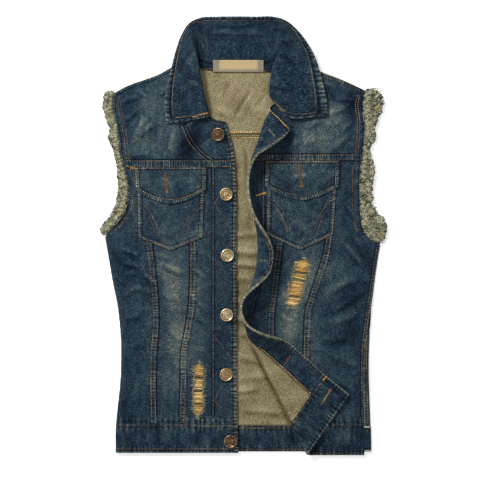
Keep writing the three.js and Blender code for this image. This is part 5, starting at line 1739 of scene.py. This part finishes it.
def tufts(edge_name, tip_name, way, y0, y1, z, seed, strands, thick, inward):
    """A torn edge as a ruffled row of tufts, each a clump of yarns curled over."""
    rng = np.random.default_rng(seed)
    y = np.linspace(y0, y1, 400)
    edge, tip = armhole(edge_name, y), reach_table(tip_name, y)
    middle = np.stack([(edge - way * inward + tip) / 2, y], 1)
    run = np.concatenate([[0], np.cumsum(np.linalg.norm(np.diff(middle, axis=0), axis=1))])
    count = int(run[-1] / TUFT)
    paths, radii, tones = [], [], []
    share = np.linspace(-1, 1, 6)
    for i in range(count * 2):
        at = (i / 2 + rng.uniform(-0.45, 0.45)) * run[-1] / count
        cy = np.interp(at, run, y)
        e, t = armhole(edge_name, cy) - way * inward, reach_table(tip_name, cy)
        wide = abs(t - e)
        out = 1 if i % 2 else -1
        size = np.clip(wide * rng.uniform(0.18, 0.38), 2.2, 7.0)
        cx = (e + t) / 2 + way * out * max(wide / 2 - size * 0.92, 0) * rng.uniform(0.75, 1.1)
        lift = size * rng.uniform(0.45, 0.8)
        heading = rng.uniform(-1.1, 1.1) + (0.5 if out > 0 else -0.5)
        lump = rng.normal(0, 0.16)
        for _ in range(strands):
            w = rng.uniform(-0.96, 0.96)
            turn = heading + rng.normal(0, 0.6)
            half = math.sqrt(1 - w * w) * rng.uniform(0.7, 1.15)
            a = share * half
            b = w + 0.22 * np.sin(share * 2.5 + rng.uniform(0, 6)) + rng.normal(0, 0.03, 6)
            dome = np.sqrt(np.clip(1.12 - a * a - b * b, 0.02, None)) + rng.uniform(-0.25, 0.2)
            c, s = math.cos(turn), math.sin(turn)
            px = cx + way * size * (a * c - b * s)
            py = cy + size * (a * s + b * c) * 1.05
            pz = z + lift * (dome - 0.35) + rng.normal(0, 0.12 * size)
            paths.append(np.stack([px, py, np.maximum(pz, 1.0)], 1))
            radii.append(thick * rng.uniform(0.7, 1.3) * np.array([0.6, 1.05, 1.15, 1.15, 0.95, 0.35]))
            # Strands high on a tuft are painted lighter and low ones darker, a painted shade, on top of
            # random tones.
            tones.append(lump + 0.1 + 1.3 * (dome - 0.62) + rng.normal(0, 0.34))
    return np.array(paths), np.array(radii), np.array(tones)


def locks(edge_name, tip_name, way, y0, y1, z, seed, count, inward):
    """Pointed locks of yarn out of the torn edge, bent and drooping, which make its outline jagged."""
    rng = np.random.default_rng(seed)
    paths, radii, tones = [], [], []
    t = np.linspace(0, 1, 6)
    for i in range(count):
        cy = mix(y0, y1, (i + rng.uniform(0.1, 0.9)) / count)
        root = armhole(edge_name, cy) - way * inward
        wide = abs(reach_table(tip_name, cy) - root)
        lean = np.clip(rng.normal(-0.2, 0.5), -0.95, 0.75)
        length = wide * rng.uniform(0.8, 1.15)
        bend = rng.uniform(-0.5, 0.5)
        lump = rng.normal(0, 0.2)
        height = rng.uniform(2.0, 4.5)
        for _ in range(10):
            spread = rng.uniform(-1, 1)
            run = length * rng.uniform(0.6, 1.08) * t
            angle = lean + bend * t + 0.18 * rng.normal()
            aside = spread * 2.6 * (1 - 0.75 * t) + 0.5 * np.sin(5 * t + rng.uniform(0, 6))
            out = np.clip(np.cos(angle) * run - np.sin(angle) * aside, -1.5, wide + 1.5)
            x = root + way * out
            y = np.clip(cy + np.sin(angle) * run + np.cos(angle) * aside, y0 - 5, y1 + 2)
            bow = height * np.sin(math.pi * np.minimum(0.15 + 0.85 * t, 1)) * (1 - 0.5 * spread**2)
            paths.append(np.stack([x, y, np.maximum(z + bow + rng.normal(0, 0.3), 0.9)], 1))
            radii.append(rng.uniform(0.5, 0.85) * np.array([0.7, 1.1, 1.1, 1.0, 0.8, 0.25]))
            # Each lock is painted lighter where it arches highest and darker at its root and tip, a painted
            # shade, on top of random tones.
            tones.append(lump + 0.35 * np.sin(math.pi * t) + rng.normal(0, 0.3))
    return np.array(paths), np.array(radii), np.array(tones)


def fibres(edge_name, tip_name, way, y0, y1, z, count, seed):
    """Thin loose fibres out of the fray."""
    rng = np.random.default_rng(seed)
    y = rng.uniform(y0, y1, count)
    edge, tip = armhole(edge_name, y), reach_table(tip_name, y)
    start_x = mix(edge, tip, rng.uniform(0.1, 0.8, count))
    angle = rng.uniform(-1.5, 1.5, count)
    length = rng.uniform(2.5, 5.5, count)
    t = np.linspace(0, 1, 5)[None]
    bow = rng.normal(0, 1.3, (count, 1)) * np.sin(math.pi * t)
    x = start_x[:, None] + way * np.cos(angle)[:, None] * length[:, None] * t - bow * np.sin(angle)[:, None]
    yy = y[:, None] + np.sin(angle)[:, None] * length[:, None] * t + bow * np.cos(angle)[:, None]
    zz = np.maximum(z + rng.uniform(-1, 3.5, (count, 1)) + rng.normal(0, 1, (count, 1)) * t, 0.8)
    radii = np.tile([0.4, 0.38, 0.34, 0.28, 0.1], (count, 1))
    return stack(x, yy, zz), radii, rng.normal(0.0, 0.25, count)


FRAYS = [
    ("front_left", "left", "left", -1, 4, 243, 4.8, 3, 17, 0.72, 0.2),
    ("front_right", "right", "right", 1, -7, 246, 5.0, 5, 18, 0.76, 1.6),
    ("back_left", "back_left", "left", -1, 6, 240, 2.2, 7, 8, 0.9, 0.0),
    ("back_right", "back_right", "right", 1, 0, 242, 2.2, 9, 8, 0.9, 0.0),
]
for name, edge_name, tip_name, way, y0, y1, z, seed, strands, thick, inward in FRAYS:
    heaped = tufts(edge_name, tip_name, way, y0, y1, z, seed, strands, thick, inward)
    pointed_locks = locks(edge_name, tip_name, way, y0, y1, z - 0.6, seed + 40, 46, inward)
    paths, radii, tone = (np.concatenate(both) for both in zip(heaped, pointed_locks))
    fray = tube_object("yarns_" + name, paths, radii, FRAY_LOOK, tone=tone)
    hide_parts("fray_" + name)
    loose = 200 if name.startswith("front") else 90
    paths, radii, tone = fibres(edge_name, tip_name, way, y0, y1, z, loose, seed + 20)
    tube_object("fibres_" + name, paths, radii, FRAY_LOOK, sides=3, tone=tone)


# A few curls of sewing thread caught in the right fray: places and turns.
CURLS = [(228, 240, 0.4), (229, 211, 1.6), (224, 214, 2.6), (236, 8, 0.9), (231, 3, 2.2), (219, 62, 1.2)]


def curls():
    rng = np.random.default_rng(71)
    t = np.linspace(0, 1, 9)
    paths = []
    for x, y, turn in CURLS:
        for _ in range(3):
            angle = turn + rng.normal(0, 0.3) + (2.6 + rng.normal(0, 0.5)) * t
            radius = 2.4 + rng.normal(0, 0.5)
            z = 10.5 + 1.2 * np.sin(math.pi * t) + rng.normal(0, 0.4)
            paths.append(stack(x + radius * np.cos(angle), y + radius * np.sin(angle), z))
    radii = np.tile([0.2, 0.4, 0.45, 0.45, 0.45, 0.45, 0.45, 0.4, 0.2], (len(paths), 1))
    tube_object("caught_threads", np.array(paths), radii, GOLD_LOOK, tone=np.full(len(paths), -0.1))


curls()


def rip_fill(name, bands, seed):
    """Bare cross threads in a worn-through place, in bands, and pale broken ends along its sides."""
    rip = RIPS[name]
    rng = np.random.default_rng(seed)
    half = rip["height"] / 2
    ys = np.arange(-half + 2, half - 2, 0.7)
    keep = np.array([any(a <= t / half <= b for a, b in bands) for t in ys])
    ys = ys[keep]
    count = len(ys)
    t = ys / half
    wide = rip_half(rip, t) + 2.2
    middle = rip["x"] + rip["lean"] * ys
    s = np.linspace(-1, 1, 7)[None]
    x = middle[:, None] + wide[:, None] * s
    tilt = rng.normal(0, 0.05, (count, 1)) - rip["lean"] * 0.5
    y = rip["y"] + ys[:, None] + rng.normal(0, 0.25, (count, 7)).cumsum(1) * 0.35 + tilt * wide[:, None] * s
    z = FRONT_Z + 0.1 + rng.normal(0, 0.3, (count, 1)) + 0.5 * np.cos(math.pi * s / 2)
    radii = np.tile([0.2, 0.5, 0.56, 0.56, 0.56, 0.5, 0.2], (count, 1))
    radii = radii * rng.uniform(0.75, 1.25, (count, 1))
    obj = tube_object("threads_" + name, stack(x, y, z), radii, GOLD_LOOK, sides=5,
                      tone=rng.normal(0.1, 0.35, count))
    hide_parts("rip_threads_" + name)
    ends = int(rip["height"] * 4.4)
    y0 = np.clip(rng.uniform(-half * 1.12, half * 1.12, ends), -half * 1.06, half * 1.06)
    way = rng.choice([-1, 1], ends)
    t = y0 / half
    wide = rip_half(rip, t)
    start_x = rip["x"] + rip["lean"] * y0 + way * (wide + rng.uniform(-0.5, 1.8, ends))
    length = rng.uniform(2.0, 6.5, ends)
    angle = rng.normal(0, 0.7, ends)
    outward = np.where(rng.uniform(0, 1, ends) < 0.35, -1, 1)
    way = way * outward
    s = np.linspace(0, 1, 5)[None]
    x = start_x[:, None] - way[:, None] * np.cos(angle)[:, None] * length[:, None] * s
    y = rip["y"] + y0[:, None] + np.sin(angle)[:, None] * length[:, None] * s
    z = FRONT_Z + 0.9 + 0.9 * np.sin(math.pi * s * 0.8) + rng.uniform(-0.2, 0.5, (ends, 1))
    radii = np.tile([0.34, 0.34, 0.3, 0.24, 0.1], (ends, 1))
    tube_object("broken_ends_" + name, stack(x, y, z), radii, PALE_LOOK,
                tone=rng.normal(0.15, 0.35, ends))


rip_fill("left", [(-0.96, -0.56), (-0.5, -0.1), (0.0, 0.42), (0.5, 0.97)], 61)
rip_fill("right", [(-0.97, -0.62), (-0.5, 0.05), (0.2, 0.38), (0.5, 0.98)], 62)


NECK_LABEL = dict(left=-51, right=34, bottom=275.5, top=295.5, low=3.5, high=4.4)


def label_look():
    nodes = Nodes("label")
    plan = plan_of(nodes)
    warp = nodes.stretched(plan, (2600, 300))
    weft = nodes.stretched(plan, (300, 2200))
    tone = nodes.plus(nodes.times(warp, 0.5), weft, 0.5)
    ends = nodes.value("fade")
    light = nodes.ramp(
        tone, [(0.3, (0.3, 0.225, 0.11)), (0.6, (0.45, 0.35, 0.185)), (0.8, (0.58, 0.48, 0.29))])
    dull = nodes.ramp(tone, [(0.3, (0.13, 0.12, 0.09)), (0.7, (0.26, 0.24, 0.17))])
    return nodes.finish(nodes.mixed(ends, light, dull), 0.6, tone, 0.3, 0.0003, sheen=0.1)


def neck_label():
    q = NECK_LABEL
    left, right, bottom, top = q["left"], q["right"], q["bottom"], q["top"]
    place = lambda x, y: stack(
        x, y, mix(q["low"], q["high"], (y - bottom) / (top - bottom)) + 0.25 * noise(x / 12, y / 9, 51))
    cut = lambda u, v: (mix(left, right, u), mix(bottom, top, v))
    turned = lambda x, y: np.maximum(
        smooth((np.abs(x + 8.5) - 31) / 2), 0.8 * smooth((bottom + 6 - y) / 2))
    look = label_look()
    cut_cloth("neck_label", cut, place, 0.8, [look, look, look], (85, 20), [],
              fade=turned, step=1.5, slot="label")
    label = cloths["neck_label"]
    rows = [(label, level(top - 2, left + 2, right - 2))]
    rows += [(label, [(x, bottom + 2), (x, top - 2)]) for x in (left + 2, right - 2)]
    sew("stitches_label", rows, GOLD_LOOK, 0.25)


neck_label()


def neck_tape():
    """The tape that covers the neck seam inside the back."""
    foot = [(-73, 280.5), (-50, 278.5), (-8, 277), (30, 276.6), (52, 275)]
    lower = lambda x: np.interp(x, [a for a, _ in foot], [b for _, b in foot])

    def cut(u, v):
        x = mix(foot[0][0], foot[-1][0], u)
        return x, lower(x) + 10 * v

    place = lambda x, y: stack(x, y, 3.0 + 0.25 * noise(x / 9, y / 9, 53))
    hem = Line(foot, half=2.5, rise=0.2, wear=0.8, worn=5, pitch=5)
    cut_cloth("neck_tape", cut, place, 0.8, BAND_SHELL, (125, 10), [hem], fade=tape_fade, step=1.5,
              slot="denim_band", replaces=False)
    row = [(cloths["neck_tape"], [(x, y + 1.6) for x, y in foot])]
    sew("stitches_neck", row, THREAD_LOOK, 0.55)


neck_tape()

LIES_LOWEST = ("back_panel", "back_yoke", "hem_band_back")
for name, cloth in cloths.items():
    cloth.declare([] if name in LIES_LOWEST else ["cloth_back_panel"])


# Floor, light and camera.
FLOOR_SIZE = 8.0
floor_mesh = bpy.data.meshes.new("floor")
corners = [(x * FLOOR_SIZE / 2, y * FLOOR_SIZE / 2, 0) for x, y in ((-1, -1), (1, -1), (1, 1), (-1, 1))]
floor_mesh.from_pydata(corners, [], [(0, 1, 2, 3)])
floor = bpy.data.objects.new("floor", floor_mesh)
bpy.context.scene.collection.objects.link(floor)
floor_look = Nodes("floor")
floor_look.shader.inputs["Emission Color"].default_value = (1, 1, 1, 1)
floor_look.shader.inputs["Emission Strength"].default_value = 0.38
floor_mesh.materials.append(floor_look.finish((0.93, 0.93, 0.93, 1), 0.9))
floor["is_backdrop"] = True

bpy.context.scene.view_settings.view_transform = "Standard"
world = bpy.data.worlds.new("studio")
world.use_nodes = True
world.node_tree.nodes["Background"].inputs[0].default_value = (1, 1, 1, 1)
world.node_tree.nodes["Background"].inputs[1].default_value = 0.46
bpy.context.scene.world = world


def area_light(name, place, size, energy):
    """A square light that shines at the origin."""
    data = bpy.data.lights.new(name, "AREA")
    data.size = size
    data.energy = energy
    light = bpy.data.objects.new(name, data)
    light.location = place
    light.rotation_euler = (-Vector(place)).to_track_quat("-Z", "Y").to_euler()
    bpy.context.scene.collection.objects.link(light)


area_light("key", (-1.3, 1.5, 1.5), 0.55, 74)
area_light("fill", (1.3, -0.9, 1.6), 1.4, 8)

# The photograph is 500 pixels across 840 mm, seen straight from above.
VIEW_WIDTH = 0.84
VIEW_MIDDLE = (10.9, -23.5)
LENS = 100.0
SENSOR = 36.0
camera_data = bpy.data.cameras.new("camera")
camera_data.lens = LENS
camera_data.sensor_width = SENSOR
camera = bpy.data.objects.new("camera", camera_data)
distance = VIEW_WIDTH * LENS / SENSOR
camera.location = ((VIEW_MIDDLE[0] + SHIFT[0]) * MM, (VIEW_MIDDLE[1] + SHIFT[1]) * MM, distance + 0.004)
bpy.context.scene.collection.objects.link(camera)
bpy.context.scene.camera = camera

for label, box in (("cad", cad_box), ("dressed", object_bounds())):
    [[round(float(c), 4) for c in corner] for corner in box]
